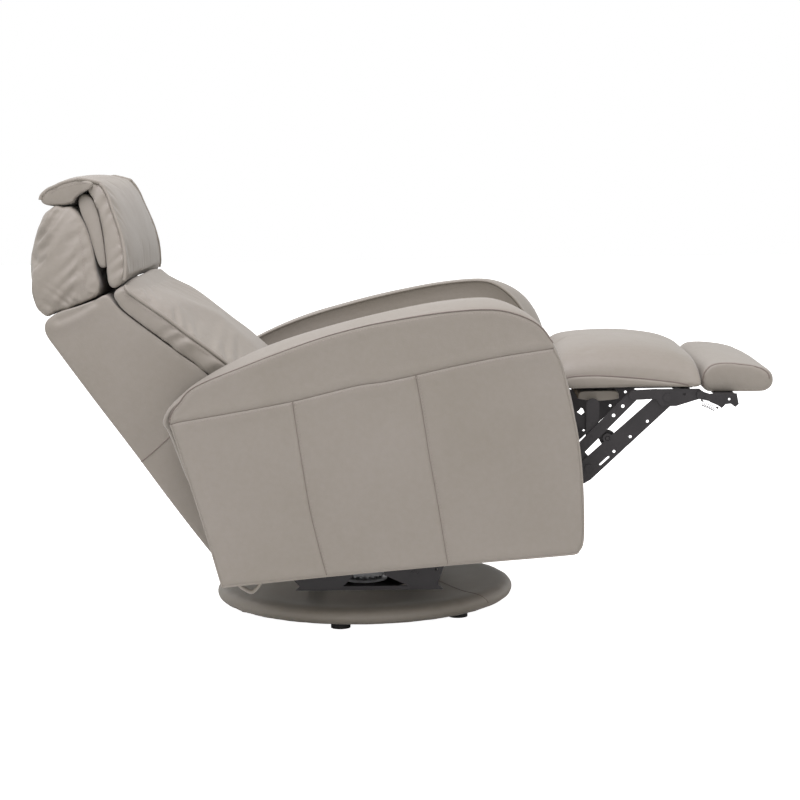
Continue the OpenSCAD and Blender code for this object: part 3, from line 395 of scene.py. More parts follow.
def cushion_rows(line, box, half, pull, taper, shoulder, across=72, dome=0.004, round_off=0.006,
                 cap_rows=14):
    """Rows of a cushion. Across the chair, s runs from -1 to 1; the outline moves out by its rise
    times (1 - |s|^shoulder)^0.6. Each end closes with rings that shrink to the middle and bulge by
    dome."""
    x, z, rx, rz = line.T
    reach = side_reach(x, z, box, half, pull, taper)
    s = np.sin(np.linspace(-1, 1, across) * np.pi / 2)
    swell = (1 - np.abs(s) ** shoulder + 1e-9) ** 0.6
    body = np.stack([x + rx * swell[:, None], s[:, None] * reach, z + rz * swell[:, None]], -1)
    mid = np.array([x.mean(), z.mean()])
    t = np.linspace(0, 1, cap_rows)[1:-1] ** 1.3
    out = (round_off * (1 - (1 - np.minimum(t * 9, 1)) ** 2) ** 0.5 * 0.5
           + dome * np.sin(np.minimum(t * 1.1, 1) * np.pi / 2))
    rings = []
    ring_x, ring_z = x + (mid[0] - x) * t[:, None], z + (mid[1] - z) * t[:, None]
    for side in (-1, 1):
        ring_y = side * (side_reach(ring_x, ring_z, box, half, pull, taper) + out[:, None])
        ring = np.stack([ring_x, ring_y, ring_z], -1)
        rings.append(ring[::-1] if side < 0 else ring)
    return np.vstack([rings[0], body, rings[1]])


class Cushion:
    """One padded piece: its drawn outline, its skin, and the lines of the side view laid on its ends."""

    def __init__(self, name, points, half, body, node, fill, pull=0.005, taper=0.0, shoulder=2.4, around=240,
                 **shape):
        full = [(*point, 0, 0)[:4] for point in points]
        self.line = closed_outline(np.array(full, float) / 1000, around)
        x, z = self.line[:, 0], self.line[:, 1]
        self.box = (x.min(), x.max(), z.min(), z.max())
        self.half, self.pull, self.taper, self.body = half, pull, taper, body
        rows = cushion_rows(self.line, self.box, half, pull, taper, shoulder, **shape)
        self.piece = grid_mesh(name, rows, taupe_hide)
        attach(self.piece, body)
        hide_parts(node)

    def side_path(self, line, side, count=120):
        """A drawn line of the side view, in millimetres, laid on one end of the cushion."""
        path = smooth_line(np.array(line, float) / 1000, count)
        y = side_reach(path[:, 0], path[:, 1], self.box, self.half, self.pull, self.taper)
        return np.stack([path[:, 0], side * y, path[:, 1]], -1)


def skin_points(piece):
    """Every point of a piece's mesh, and the normals there."""
    mesh = piece.data
    points = np.empty(len(mesh.vertices) * 3)
    mesh.vertices.foreach_get("co", points)
    normals = np.empty(len(mesh.vertices) * 3)
    mesh.vertex_normals.foreach_get("vector", normals)
    return points.reshape(-1, 3), normals.reshape(-1, 3)


def set_points(piece, points):
    """Puts every point of a piece's mesh at its new place."""
    piece.data.vertices.foreach_set("co", np.asarray(points, float).ravel())
    piece.data.update()
    skin_trees.pop(piece.name, None)


def nearest(points, path):
    """For each point, the distance to a path, and how far along the path its nearest place lies."""
    path = np.vstack([path[::3], path[-1:]])
    run = lengths(path)
    best, where = np.full(len(points), 9.0), np.zeros(len(points))
    close = np.nonzero(((points > path.min(0) - 0.12) & (points < path.max(0) + 0.12)).all(1))[0]
    near, gaps, places = points[close], np.full(len(close), 9.0), np.zeros(len(close))
    for a, b, start in zip(path[:-1], path[1:], run):
        way = b - a
        t = np.clip((near - a) @ way / (way @ way + 1e-15), 0, 1)
        gap = np.sqrt((((near - a) - t[:, None] * way) ** 2).sum(1))
        closer = gap < gaps
        gaps[closer] = gap[closer]
        places[closer] = start + t[closer] * np.linalg.norm(way)
    best[close], where[close] = gaps, places
    return best, where


def ramp(t):
    """Smooth step: 3 t squared minus 2 t cubed, held at 0 and 1 outside."""
    t = np.clip(t, 0, 1)
    return t * t * (3 - 2 * t)


def evaluated(piece):
    """A piece's mesh with its modifiers worked in."""
    return bpy.data.meshes.new_from_object(piece.evaluated_get(bpy.context.evaluated_depsgraph_get()))


def bake(piece):
    """Works a piece's modifiers into its mesh and removes them."""
    mesh = evaluated(piece)
    mesh.name = piece.name
    piece.modifiers.clear()
    piece.data = mesh


# the side of a cushion's quads in metres, and the simulation's length in frames
QUAD = 0.0055
LAST_FRAME = 20


def held_cloth(cushion, held, grow, bend, pressure):
    """Remeshes a cushion's skin in even quads and hangs a cloth simulation on it. Held, worked out
    from the points and normals, is true where sewing or what lies behind keeps the leather still.
    Grow is how much larger the leather is cut than the padding it covers."""
    piece = cushion.piece
    remesh = piece.modifiers.new("even_quads", "REMESH")
    remesh.mode = "VOXEL"
    remesh.voxel_size = QUAD
    bake(piece)
    piece.data.shade_smooth()
    points, normals = skin_points(piece)
    group = piece.vertex_groups.new(name="held")
    group.add(np.nonzero(held(points, normals))[0].tolist(), 1.0, "REPLACE")
    cloth = piece.modifiers.new("leather_over_foam", "CLOTH")
    settings = cloth.settings
    settings.quality = 5
    settings.mass = 0.4
    settings.tension_stiffness = settings.compression_stiffness = 18
    settings.shear_stiffness = 6
    settings.bending_stiffness = bend
    settings.use_pressure = True
    settings.uniform_pressure_force = pressure
    settings.shrink_min = -grow
    settings.vertex_group_mass = "held"
    settings.effector_weights.gravity = 0
    cloth.collision_settings.use_collision = False
    cloth.point_cache.frame_start, cloth.point_cache.frame_end = 1, LAST_FRAME


def plump(cushions, cap):
    """Steps all the simulations to their last frame, lets no point move further than cap, and
    applies them."""
    before = [skin_points(c.piece)[0] for c in cushions]
    for step in range(1, LAST_FRAME + 1):
        scene.frame_set(step)
    after = [evaluated(c.piece) for c in cushions]
    for cushion, start, mesh in zip(cushions, before, after):
        end = np.empty(len(mesh.vertices) * 3)
        mesh.vertices.foreach_get("co", end)
        moved = end.reshape(-1, 3) - start
        size = np.linalg.norm(moved, axis=1, keepdims=True)
        limited = moved * np.minimum(1, cap / (size + 1e-9))
        cushion.piece.modifiers.clear()
        cushion.piece.vertex_groups.clear()
        set_points(cushion.piece, start + limited)
        bpy.data.meshes.remove(mesh)
    scene.frame_set(1)


def refine(cushion):
    """One subdivision, worked in, so that grooves and creases finer than the quads can follow."""
    finer = cushion.piece.modifiers.new("finer", "SUBSURF")
    finer.levels = finer.render_levels = 1
    bake(cushion.piece)
    cushion.piece.data.shade_smooth()


def groove(points, paths, depth, width):
    """How deep a row of sewing pulls the leather in: depth times exp of minus the square of distance
    over width."""
    total = np.zeros(len(points))
    for path in paths:
        gap, _ = nearest(points, path)
        total -= depth * np.exp(-(gap / width) ** 2)
    return total


def puckers(points, path, tall, reach, pitch, seed, start, lean):
    """Gathers along a seam: ridges tall at the seam and fading over reach, each about a pitch wide,
    with the spacing and height wandering by a few slow sines whose phases come from the seed. Start
    is where they begin to rise from the seam, and lean slants them along it."""
    pick = np.random.default_rng(seed)
    gap, along = nearest(points, path)
    s = along + lean * gap
    wander = sum(pick.uniform(0.3, 0.9) * np.sin(s * 2 * np.pi / (pitch * k) + pick.uniform(0, 6.28))
                 for k in (2.7, 4.3, 7.1))
    height = 0.55 + 0.45 * np.sin(s * 2 * np.pi / (pitch * 5.3) + pick.uniform(0, 6.28))
    rise = ramp((gap - start) / (0.2 * reach)) * np.exp(-np.maximum(gap - start, 0) / reach)
    return tall * height * rise * np.sin(s * 2 * np.pi / pitch + 1.6 * wander)


def folds(points, waves, seed):
    """Soft hollows of leather over foam: a sum of sine ridges in a few directions, each wave given as
    (length in metres, height in metres), with phase and direction from the seed."""
    pick = np.random.default_rng(seed)
    total = np.zeros(len(points))
    for length, tall in waves:
        for _ in range(3):
            way = pick.normal(size=3)
            way /= np.linalg.norm(way)
            total += tall / 3 * np.sin(points @ way * 2 * np.pi / length + pick.uniform(0, 6.28))
    return total


def drags(points, way, pitch, tall, seed):
    """Long soft folds lying across one direction: tall times the sine of the distance along it over
    the pitch, with a slowly drifting phase, and deeper where another slow sine peaks."""
    pick = np.random.default_rng(seed)
    way = np.array(way) / np.linalg.norm(way)
    s, c = points @ way * 2 * np.pi / pitch, points @ np.cross(way, (0, 1, 0)) * 2 * np.pi / pitch
    a, b, d = pick.uniform(0, 6.28, 3)
    drift = 0.9 * np.sin(c / 6 + a) + 0.8 * np.sin(s / 3.7 + b)
    return tall * (0.55 + 0.45 * np.sin(s / 4.3 + 0.5 * c / 5 + d)) * np.sin(s + drift)


def work(cushion, *amounts):
    """Moves a cushion's skin along its normals by the sum of the amounts."""
    points, normals = skin_points(cushion.piece)
    total = sum(amount(points) for amount in amounts)
    set_points(cushion.piece, points + normals * total[:, None])


def both_sides(cushion, line):
    """A drawn line laid on the right end and on the left end."""
    return [cushion.side_path(line, side) for side in (-1, 1)]


def side_puckers(points, cushion, line, tall, reach, pitch, seed, start, lean):
    """Puckers along a drawn line on both ends of a cushion."""
    return sum(puckers(points, path, tall, reach, pitch, seed + k, start, lean)
               for k, path in enumerate(both_sides(cushion, line)))


def side_groove(points, cushion, line, depth, width):
    """A groove along a drawn line on both ends of a cushion."""
    return groove(points, both_sides(cushion, line), depth, width)


def side_welt(name, cushion, line, radius, lift, material=taupe_hide):
    """Piping along a drawn line of the side view, on both ends of a cushion. In the darker seam material it
    is a line of painted seam shade instead.
    """
    for side, tag in ((-1, "right"), (1, "left")):
        path = on_skin(cushion.piece, cushion.side_path(line, side), lift)
        cord_piece(f"{tag}_{name}", smooth_line(path[::4], 160), radius, cushion.body, material)


def side_stitches(name, cushion, line, lift=0.0002):
    """A row of stitches along a drawn line of the side view, on both ends of a cushion."""
    for side, tag in ((-1, "right"), (1, "left")):
        path = on_skin(cushion.piece, cushion.side_path(line, side), lift)
        stitches(f"{tag}_{name}", smooth_line(path[::4], 200), cushion.body)


# Seat cushion. A boxed foam seat in plain leather on elastic webbing, thickest at its front edge.
# The arms and the back cushion hide most of it.
SEAT = [(-114, 441), (-117, 462, 0, 2), (-104, 492, 0, 8), (-10, 509, 0, 12), (110, 524, 0, 12),
        (230, 539, 0, 12), (318, 548, 0, 12), (360, 544, 0, 10), (378, 522, 0, 4), (374, 502), (350, 490),
        (320, 486.5), (200, 471), (40, 450.5), (-80, 436), (-100, 434.6)]
Cushion("seat_top", SEAT, 0.2805, "seat", "seat_cushion", 0.8, dome=0.0, round_off=0.002)

# Outer back. The back's deep leather wedge carries the cushions and is plain at the rear. Under the
# head section its leather swells and then dips into a seam.
SHELL = [(-290, 152), (-311, 174, -4, -4), (-380, 268, -8, -6), (-453, 372, -8, -6), (-523, 469, -8, -6),
         (-594, 570, -8, -6), (-617, 604, -4, 0), (-620, 625), (-612, 638), (-590, 651.5), (-553, 662),
         (-520, 673), (-500, 683), (-487, 676), (-464, 651), (-404, 604), (-348, 561), (-299, 524),
         (-264, 476), (-252, 410), (-254, 300), (-266, 200), (-276, 160)]
outer_back = Cushion("outer_back", SHELL, 0.2675, "back", "back_shell", 0.9, pull=0.003, dome=0.003,
                     around=300, cap_rows=40)

# Back cushion. A thick soft lumbar cushion, piped down both sides and full in its middle, its
# leather gathered a little along the piping. Rise is its fullness in the middle, in millimetres.
RISE = 20
BACK = [(-262, 483), (-298.5, 524.6), (-347.5, 561.7), (-403.5, 604.7), (-463.4, 651.7), (-474, 666),
        (-482, 680, 0, 4), (-480, 688.5, 2, 10), (-470, 695, 4, 12), (-458, 698, 10, 18),
        (-448, 689, 0.5 * RISE, 22), (-415, 664, 0.55 * RISE, 0.85 * RISE),
        (-383, 643, 0.55 * RISE, 0.85 * RISE), (-327, 597, 0.55 * RISE, 0.85 * RISE),
        (-262, 545, 0.5 * RISE, 0.8 * RISE), (-214, 502, 0.5 * RISE, 0.65 * RISE),
        (-186, 477, 0.5 * RISE, 0.4 * RISE), (-180, 466, 0.4 * RISE, 0), (-205, 460), (-240, 466)]
lumbar = Cushion("lumbar_cushion", BACK, 0.2685, "back", "back_cushion", 0.75)
LUMBAR_PIPING = [(-458, 707), (-453, 692), (-444, 683), (-411, 660), (-380, 638), (-332, 600), (-300, 576),
                 (-262, 546), (-222, 510), (-192, 482)]

# Head section. It folds forward at the top of the back: a rear pillow, a padded board, the head
# cushion in front, and a hood of leather from the cushion's top that falls over the pillow.
PILLOW = [(-619, 643), (-634, 656, -3, 0), (-645, 681, -6, 0), (-648, 709, -6, 0), (-643, 752, -5, 0),
          (-635, 802, -5, 0), (-625, 842, -3, 0), (-613, 857, 0, 4), (-592, 860, 0, 7), (-567, 855, 0, 6),
          (-550, 837), (-537, 812), (-526, 775), (-518, 733), (-510, 705), (-511, 688), (-520, 678),
          (-553, 665), (-588, 655), (-608, 645)]
pillow = Cushion("rear_pillow", PILLOW, 0.2640, "headrest", "headrest_pillow", 0.6, pull=0.003, taper=0.0405,
                 dome=0.006)
PILLOW_GATHER = [(-619, 643), (-588, 657), (-561, 667), (-535, 676), (-517, 686)]
PILLOW_SEAM = [(-548, 815), (-541, 770), (-538, 738), (-536, 706), (-539, 684)]
BOARD = [(-503, 737), (-513.4, 742), (-525, 775), (-536, 812), (-550, 846), (-555, 868), (-550, 881),
         (-537, 882), (-521.1, 864), (-508.1, 815), (-498.6, 747)]
Cushion("padded_board", BOARD, 0.2350, "headrest", "headrest_board", 0.7, pull=0.0, taper=0.030,
        dome=0.002, around=160)
HEAD = [(-478, 696, 0, 9), (-493, 704, 0, 6), (-498, 745), (-507.5, 815), (-520.5, 864), (-533, 886),
        (-538, 902, 0, 1), (-531, 910, 0, 4), (-512, 903, 2, 5), (-498, 884, 5, 3), (-485, 849, 9, 2),
        (-471, 811, 9, 0), (-461, 770, 8, 0), (-458, 735, 5, 3), (-462, 708, 10, 10)]
head = Cushion("head_cushion", HEAD, 0.2600, "headrest", "headrest_cushion", 0.8, taper=0.052)
HEAD_PIPING = [(-533, 912), (-514, 907), (-500, 889), (-489, 862), (-476, 829), (-466, 800), (-460, 769),
               (-458, 737), (-460, 709)]
HOOD = [(-527, 897, 0, 1), (-546, 887, 0, -2), (-560, 877, 0, -3), (-566, 869, 0, -8),
        (-582, 864.5, 0, -8), (-606, 864, 0, -8), (-621, 865, 0, -4), (-628, 872, 0, 1), (-625, 882, 0, 6),
        (-612, 893, 0, 12), (-590, 903, 0, 13), (-565, 910, 0, 10), (-545, 912, 0, 7), (-526, 907, 0, 5)]
hood = Cushion("hood", HOOD, 0.2195, "headrest", "headrest_hood", 0.3, pull=0.0, dome=0.0015, around=160)
HOOD_PIPING = [(-540, 913), (-563, 910), (-590, 903), (-612, 893), (-624.5, 882.5), (-628, 874)]

# Legrest. The main pad and the foot pad are boxed cushions with a soft crown. A small
# leather-wrapped board fills the gap behind the main pad as the legrest comes out. Crown is how
# high the main pad's middle stands over its side seams, in millimetres.
CROWN = 62
PAD = [(414, 488, -5, 0), (410, 496, -16, 0.15 * CROWN), (413, 504, -18, 0.5 * CROWN),
       (432, 508, -8, 0.86 * CROWN), (506, 507, 0, CROWN), (570, 502, 0, 1.05 * CROWN),
       (631, 494, 0, 1.04 * CROWN), (662, 491, 0, 0.92 * CROWN), (683, 491, 0, 0.72 * CROWN),
       (690, 489, 0, 0.36 * CROWN), (690, 485.5), (676, 483.9), (640, 483.9), (540, 483.9), (440, 483.9),
       (424, 484.5)]
leg = Cushion("leg_pad", PAD, 0.2590, "ottoman", "ottoman_pad", 0.8, shoulder=6, dome=0.002, across=96)
LEG_SEAM = [(416, 503), (432, 507), (470, 508.5), (506, 507), (560, 502.5), (610, 497), (650, 491),
            (668, 487)]
FOOT = [(702, 474), (693, 486), (695, 507), (706, 522), (722, 529), (760, 529, 1, -2), (804, 522, 2, -2),
        (826, 511, 8, 0), (831, 494, 13, 0), (828, 479, 10, 1), (815, 472, 4, 0), (782, 471), (730, 471),
        (714, 471.5)]
foot = Cushion("foot_rest", FOOT, 0.2390, "foot", "foot_pad", 0.85, shoulder=6, dome=0.003, across=96)
FOOT_SEAM = [(694, 480), (695, 505), (706, 521), (722, 528), (758, 528), (802, 521), (824, 509),
             (829, 494)]
GAP = [(448, 460), (445, 466), (451, 475), (486, 476, 0, 1), (521, 475), (527, 466), (523, 459),
       (486, 456)]
Cushion("gap_pad", GAP, 0.2365, "top_links", "gap_board", 0.5, pull=0.0, dome=0.0, around=120)

# Padding. The soft cushions are blown up together by one short cloth simulation with their seams
# held, and are then worked over: sewing pulls the seams in and the leather puckers beside them.
SOFT = {"lumbar": (lumbar, LUMBAR_PIPING), "pillow": (pillow, PILLOW_SEAM), "head": (head, HEAD_PIPING),
        "leg": (leg, LEG_SEAM), "foot": (foot, FOOT_SEAM)}
LARGEST_MOVE = 0.024
INTO_THE_BACK = np.array((-0.61, 0, -0.79))

# Of each cushion: how much larger its leather is cut, its stiffness, the foam's pressure, how
# squarely a side has to face outwards to be kept flat, and which way is backed
CLOTHS = {"lumbar": (0.012, 3.0, 4.0, 0.82, lambda p, n: (n @ INTO_THE_BACK > 0.3) | (p[:, 2] > 0.692)),
          "pillow": (0.010, 3.0, 3.0, 2.0, lambda p, n: (n[:, 0] > 0.35) | (n[:, 2] < -0.35)),
          "head": (0.002, 8.0, 4.0, 0.82, lambda p, n: (n[:, 0] < -0.1) | (p[:, 2] < 0.722)),
          "leg": (0.0, 10.0, 4.0, 0.82, lambda p, n: (n[:, 2] < -0.3) | (n[:, 0] > 0.75)),
          "foot": (0.0, 10.0, 4.0, 0.82, lambda p, n: (n[:, 2] < -0.3) | (n[:, 0] < -0.6))}


def sewn_or_backed(cushion, line, ends, backed):
    """Held where a point lies within 5 mm of the side seams, faces a side that is kept flat, or lies
    on what carries the cushion."""
    seams = [cushion.side_path(line, side, count=50) for side in (-1, 1)]

    def held(points, normals):
        near = np.min([nearest(points, seam)[0] for seam in seams], 0) < 0.005
        return near | (np.abs(normals[:, 1]) > ends) | backed(points, normals)
    return held


for key, (cushion, line) in SOFT.items():
    grow, bend, pressure, ends, backed = CLOTHS[key]
    held_cloth(cushion, sewn_or_backed(cushion, line, ends, backed), grow, bend, pressure)
plump([cushion for cushion, _ in SOFT.values()], LARGEST_MOVE)
for cushion, _ in SOFT.values():
    refine(cushion)

work(lumbar,
     lambda p: folds(p, ((0.21, 0.0016), (0.1, 0.0006)), 21),
     lambda p: side_puckers(p, lumbar, LUMBAR_PIPING, 0.0030, 0.05, 0.046, 5, 0.004, 0.5)
     * ramp((p[:, 0] + 0.46) / 0.1),
     lambda p: side_groove(p, lumbar, LUMBAR_PIPING, 0.0016, 0.004))
work(pillow,
     lambda p: folds(p, ((0.13, 0.0016),), 31),
     lambda p: drags(p, (-0.74, 0, 0.67), 0.026, 0.0026, 33) * ramp((np.abs(p[:, 1]) - 0.17) / 0.05)
     * ramp((-0.548 - p[:, 0]) / 0.02) * ramp((p[:, 0] + 0.647) / 0.03),
     lambda p: side_puckers(p, pillow, PILLOW_GATHER, 0.0024, 0.02, 0.018, 15, 0.002, 0.6),
     lambda p: side_groove(p, pillow, PILLOW_SEAM, 0.0020, 0.004))
# the head cushion's front is sewn down along one crease near its foot
crease = np.stack([np.full(60, -0.452), np.linspace(-0.25, 0.25, 60), np.full(60, 0.713)], -1)
work(head,
     lambda p: folds(p, ((0.17, 0.0010),), 51),
     lambda p: side_puckers(p, head, HEAD_PIPING, 0.0022, 0.018, 0.03, 25, 0.003, -0.8),
     lambda p: groove(p, [crease], 0.0045, 0.007),
     lambda p: side_groove(p, head, HEAD_PIPING, 0.0014, 0.0035))
work(leg,
     lambda p: folds(p, ((0.24, 0.0012),), 71),
     lambda p: side_groove(p, leg, LEG_SEAM, 0.0018, 0.0035))
SWELLING = [(-600, 622), (-572, 632), (-545, 644), (-525, 660)]
DIP = [(-592, 634), (-570, 642), (-545, 654), (-520, 668)]
work(outer_back,
     lambda p: -side_groove(p, outer_back, SWELLING, 0.0030, 0.014),
     lambda p: side_groove(p, outer_back, DIP, 0.0040, 0.006))
work(foot,
     lambda p: folds(p, ((0.22, 0.0008),), 81),
     lambda p: side_groove(p, foot, FOOT_SEAM, 0.0016, 0.0032))

# the outer back is joined of two leathers, with a seam that slopes up to the arm on each side, drawn as a
# thin cord in painted seam shade
BACK_SEAM = [(-446, 339), (-430, 351), (-404, 372), (-374, 399), (-345, 424)]
side_welt("outer_back_seam", outer_back, BACK_SEAM, 0.0012, -0.0001, painted_seam_shade)
side_welt("lumbar_piping", lumbar, LUMBAR_PIPING, 0.0040, 0.0028)
side_stitches("lumbar_stitches", lumbar, [(x - 5.5, z - 7) for x, z in LUMBAR_PIPING])
side_stitches("head_stitches", head, [(x - 8, z - 2) for x, z in HEAD_PIPING[1:]])
side_stitches("hood_stitches", hood, [(x + 2, z - 7) for x, z in HOOD_PIPING[:-2]])
# one piping runs from the hood's tip over its top and down the head cushion
for side, tag in ((-1, "right"), (1, "left")):
    rear = on_skin(hood.piece, hood.side_path(HOOD_PIPING[::-1], side, count=60), 0.0020)
    front = on_skin(head.piece, head.side_path(HEAD_PIPING[1:], side, count=90), 0.0026)
    whole = smooth_line(np.vstack([rear[::4], front[::4]]), 240)
    cord_piece(f"{tag}_head_piping", whole, 0.0038, "headrest")
BESIDE_PILLOW_SEAM = [(-553, 812), (-546, 770), (-543, 738), (-541, 706), (-544, 686)]
side_stitches("pillow_stitches", pillow, BESIDE_PILLOW_SEAM)
# the legrest pads' side seams are thin sunken cords in painted seam shade
side_welt("leg_pad_seam", leg, LEG_SEAM, 0.0016, -0.0002, painted_seam_shade)
side_welt("foot_rest_seam", foot, FOOT_SEAM, 0.0017, -0.0002, painted_seam_shade)

# Arms. Each arm is a timber box with a padded top. A band of leather runs over the top from a piped
# inner seam to a stitched outer one. The outer side is sewn from a strip under that band and three
# panels, and the inner side is plain.
ARM = [(-262, 119), (-283, 196), (-308, 288), (-334, 358), (-360, 424), (-370, 440), (-366, 458),
       (-348, 482), (-304, 518), (-222, 562), (-131, 597), (-20, 628), (90, 653), (180, 668), (256, 673),
       (312, 664), (350, 640), (386, 590), (406, 540), (425, 462), (438, 360), (444, 262), (442, 200),
       (430, 180), (404, 176), (200, 160), (-20, 141), (-240, 120)]
# The arm's inner face and outer seam across the chair, how far its top falls from one to the other
# and at its inner edge, how far the inner side's front stands back, and the inset that would shrink
# the outline to its middle
ARM_IN, ARM_SEAM, ARM_FALL, ARM_DRAW = 0.285, 0.410, 0.015, 0.025
INNER_FALL = 0.3 * ARM_FALL
ARM_SPAN = 0.3
arm_line = closed_outline(np.array(ARM) / 1000, 520)
on_top = (ramp((arm_line[:, 0] + 0.366) / 0.07) * ramp((0.384 - arm_line[:, 0]) / 0.06)
          * ramp((arm_line[:, 1] - 0.3) / 0.06))
in_front = ramp((arm_line[:, 0] - 0.24) / 0.11) * ramp((arm_line[:, 1] - 0.4) / 0.2)
arm_mid = np.array([0.04, 0.36])


def arm_ring(y, fall, inset, draw=0.0):
    """The arm's outline at one distance across: its front drawn back, lowered by fall along its top,
    and shrunk by inset."""
    k = 1 - inset / ARM_SPAN
    x = arm_mid[0] + (arm_line[:, 0] - draw * in_front - arm_mid[0]) * k
    z = arm_mid[1] + (arm_line[:, 1] - fall * on_top - arm_mid[1]) * k
    return np.stack([x, np.full(len(arm_line), y), z], -1)


def push(rows, amount):
    """Moves each point of a grid along its outward normal, the cross product of the grid's two ways."""
    normal = np.cross(np.roll(rows, -1, 1) - np.roll(rows, 1, 1), np.gradient(rows, axis=0))
    normal /= np.linalg.norm(normal, axis=2, keepdims=True) + 1e-12
    middle = rows.reshape(-1, 3).mean(0)
    if ((rows - middle) * normal).sum() < 0:
        normal = -normal
    return rows + normal * amount[..., None]


# the band turns in a little at both of its seams and swells between them
band = [arm_ring(ARM_IN + (ARM_SEAM - ARM_IN) * a, ARM_FALL * (0.30 * (1 - a) ** 6 + a ** 1.8),
                 0.0035 * np.exp(-((a / 0.035) ** 2)) + 0.004 * np.exp(-(((1 - a) / 0.03) ** 2))
                 - 0.0015 * np.sin(np.pi * a), ARM_DRAW * (1 - ramp(a * 1.15)))
        for a in np.linspace(0, 1, 34)]
inner = [arm_ring(ARM_IN + 0.0006, INNER_FALL, ARM_SPAN * (1 - a), ARM_DRAW)
         for a in np.linspace(0.03, 0.985, 12)]
outer = [arm_ring(ARM_SEAM - 0.004, ARM_FALL, ARM_SPAN * a) for a in np.linspace(0.02, 0.97, 12)]
arm_rows = np.array(inner + band + outer)
# soft hollows in the band alone, faded out towards both of its seams
hollows = folds(arm_rows.reshape(-1, 3), ((0.3, 0.0010), (0.12, 0.0005)), 5).reshape(arm_rows.shape[:2])
y = arm_rows[..., 1]
arm_rows = push(arm_rows, hollows * ramp((y - 0.29) / 0.03) * ramp((0.405 - y) / 0.02))

# The outer side in curves of the side view, each from its top to its bottom or from rear to front
TOP_SEAM = [(-357, 444), (-353, 462), (-337, 483), (-304, 514), (-199, 556), (-114, 587), (-50, 608),
            (16, 625), (67, 635), (150, 648), (208, 654), (259, 656), (297, 652), (338, 638), (366, 619),
            (387, 590)]
LOW_SEAM = [(-355, 440), (-337, 445), (-300, 451), (-215, 465), (-116, 483), (-52, 498), (14, 513),
            (62, 519), (122, 531), (200, 548), (296, 566), (388, 579)]
BOTTOM = [(-262, 119), (-51, 139), (189, 159), (400, 175), (432, 179)]
REAR_EDGE = [(-355, 440), (-346, 412), (-328, 352), (-295, 240), (-262, 119)]
SEAM_1 = [(-117, 483), (-109, 420), (-99, 349), (-86, 263), (-70, 191), (-57, 138)]
SEAM_2 = [(122, 531), (133, 466), (146, 376), (160, 290), (175, 189), (180, 158)]
FRONT_EDGE = [(388, 579), (404, 544), (420, 474), (433, 409), (441, 334), (444, 255), (442, 200), (432, 179)]


def even_line(points, at):
    """Points of a smooth line at the given shares of its length."""
    q = smooth_line(np.array(points, float) / 1000, 300)
    run = lengths(q)
    return np.stack([np.interp(np.asarray(at) * run[-1], run, q[:, k]) for k in range(2)], -1)


def crowd(count, near, edge=6):
    """Shares from 0 to 1 with extra ones bunched within near of both ends."""
    close = near * np.linspace(0, 1, edge, endpoint=False) ** 1.3
    return np.concatenate([close, np.linspace(near, 1 - near, count), (1 - close)[::-1]])


def share_of(points, target):
    """The share of a line's length at which it comes nearest to a point."""
    at = np.linspace(0, 1, 2001)
    return at[np.argmin(np.linalg.norm(even_line(points, at) - np.array(target) / 1000, axis=1))]


PANEL_WIDE, PANEL_TALL = 0.24, 0.36


def panel(rear, front, top_share, low_share):
    """One sewn panel of the arm's side: a patch blended between its four edges, as the chord from rear
    to front plus the shares of the top and bottom edges. Also its distances from those edges."""
    w = crowd(70, 0.022)
    a = crowd(36, 0.05)
    behind, before = even_line(rear, w), even_line(front, w)
    top = even_line(LOW_SEAM, top_share[0] + (top_share[1] - top_share[0]) * a)
    low = even_line(BOTTOM, low_share[0] + (low_share[1] - low_share[0]) * a)
    chord = (1 - a)[None, :, None] * behind[:, None] + a[None, :, None] * before[:, None]
    flat = (chord + (1 - w)[:, None, None] * (top - chord[0])[None]
            + w[:, None, None] * (low - chord[-1])[None])
    return flat, np.minimum(a, 1 - a)[None, :] * PANEL_WIDE, np.minimum(w, 1 - w)[:, None] * PANEL_TALL


def side_depth(flat, edge):
    """Distance of the sewn side from the middle plane: a slow bulge in its middle, and a rounding near
    each seam, where the leather turns in."""
    x, z = flat[..., 0], flat[..., 1]
    roll = 0.0026 * (1 - np.exp(-edge / 0.0022)) + 0.0007 * np.exp(-((edge - 0.011) / 0.009) ** 2)
    bulge = 0.0045 * (np.cos(np.clip((x - 0.05) / 0.42, -1, 1) * np.pi / 2)
                      * np.cos(np.clip((z - 0.36) / 0.3, -1, 1) * np.pi / 2))
    return ARM_SEAM - 0.0015 + roll + bulge


low_1, low_2 = share_of(LOW_SEAM, SEAM_1[0]), share_of(LOW_SEAM, SEAM_2[0])
foot_1, foot_2 = share_of(BOTTOM, SEAM_1[-1]), share_of(BOTTOM, SEAM_2[-1])
PANELS = {"rear": (REAR_EDGE, SEAM_1, (0, low_1), (0, foot_1)),
          "middle": (SEAM_1, SEAM_2, (low_1, low_2), (foot_1, foot_2)),
          "front": (SEAM_2, FRONT_EDGE, (low_2, 1), (foot_2, 1))}


def upright(line, y):
    """A line or a grid of the side view, set at the distances y across the chair."""
    return np.stack([line[..., 0], np.broadcast_to(y, line.shape[:-1]), line[..., 1]], -1)


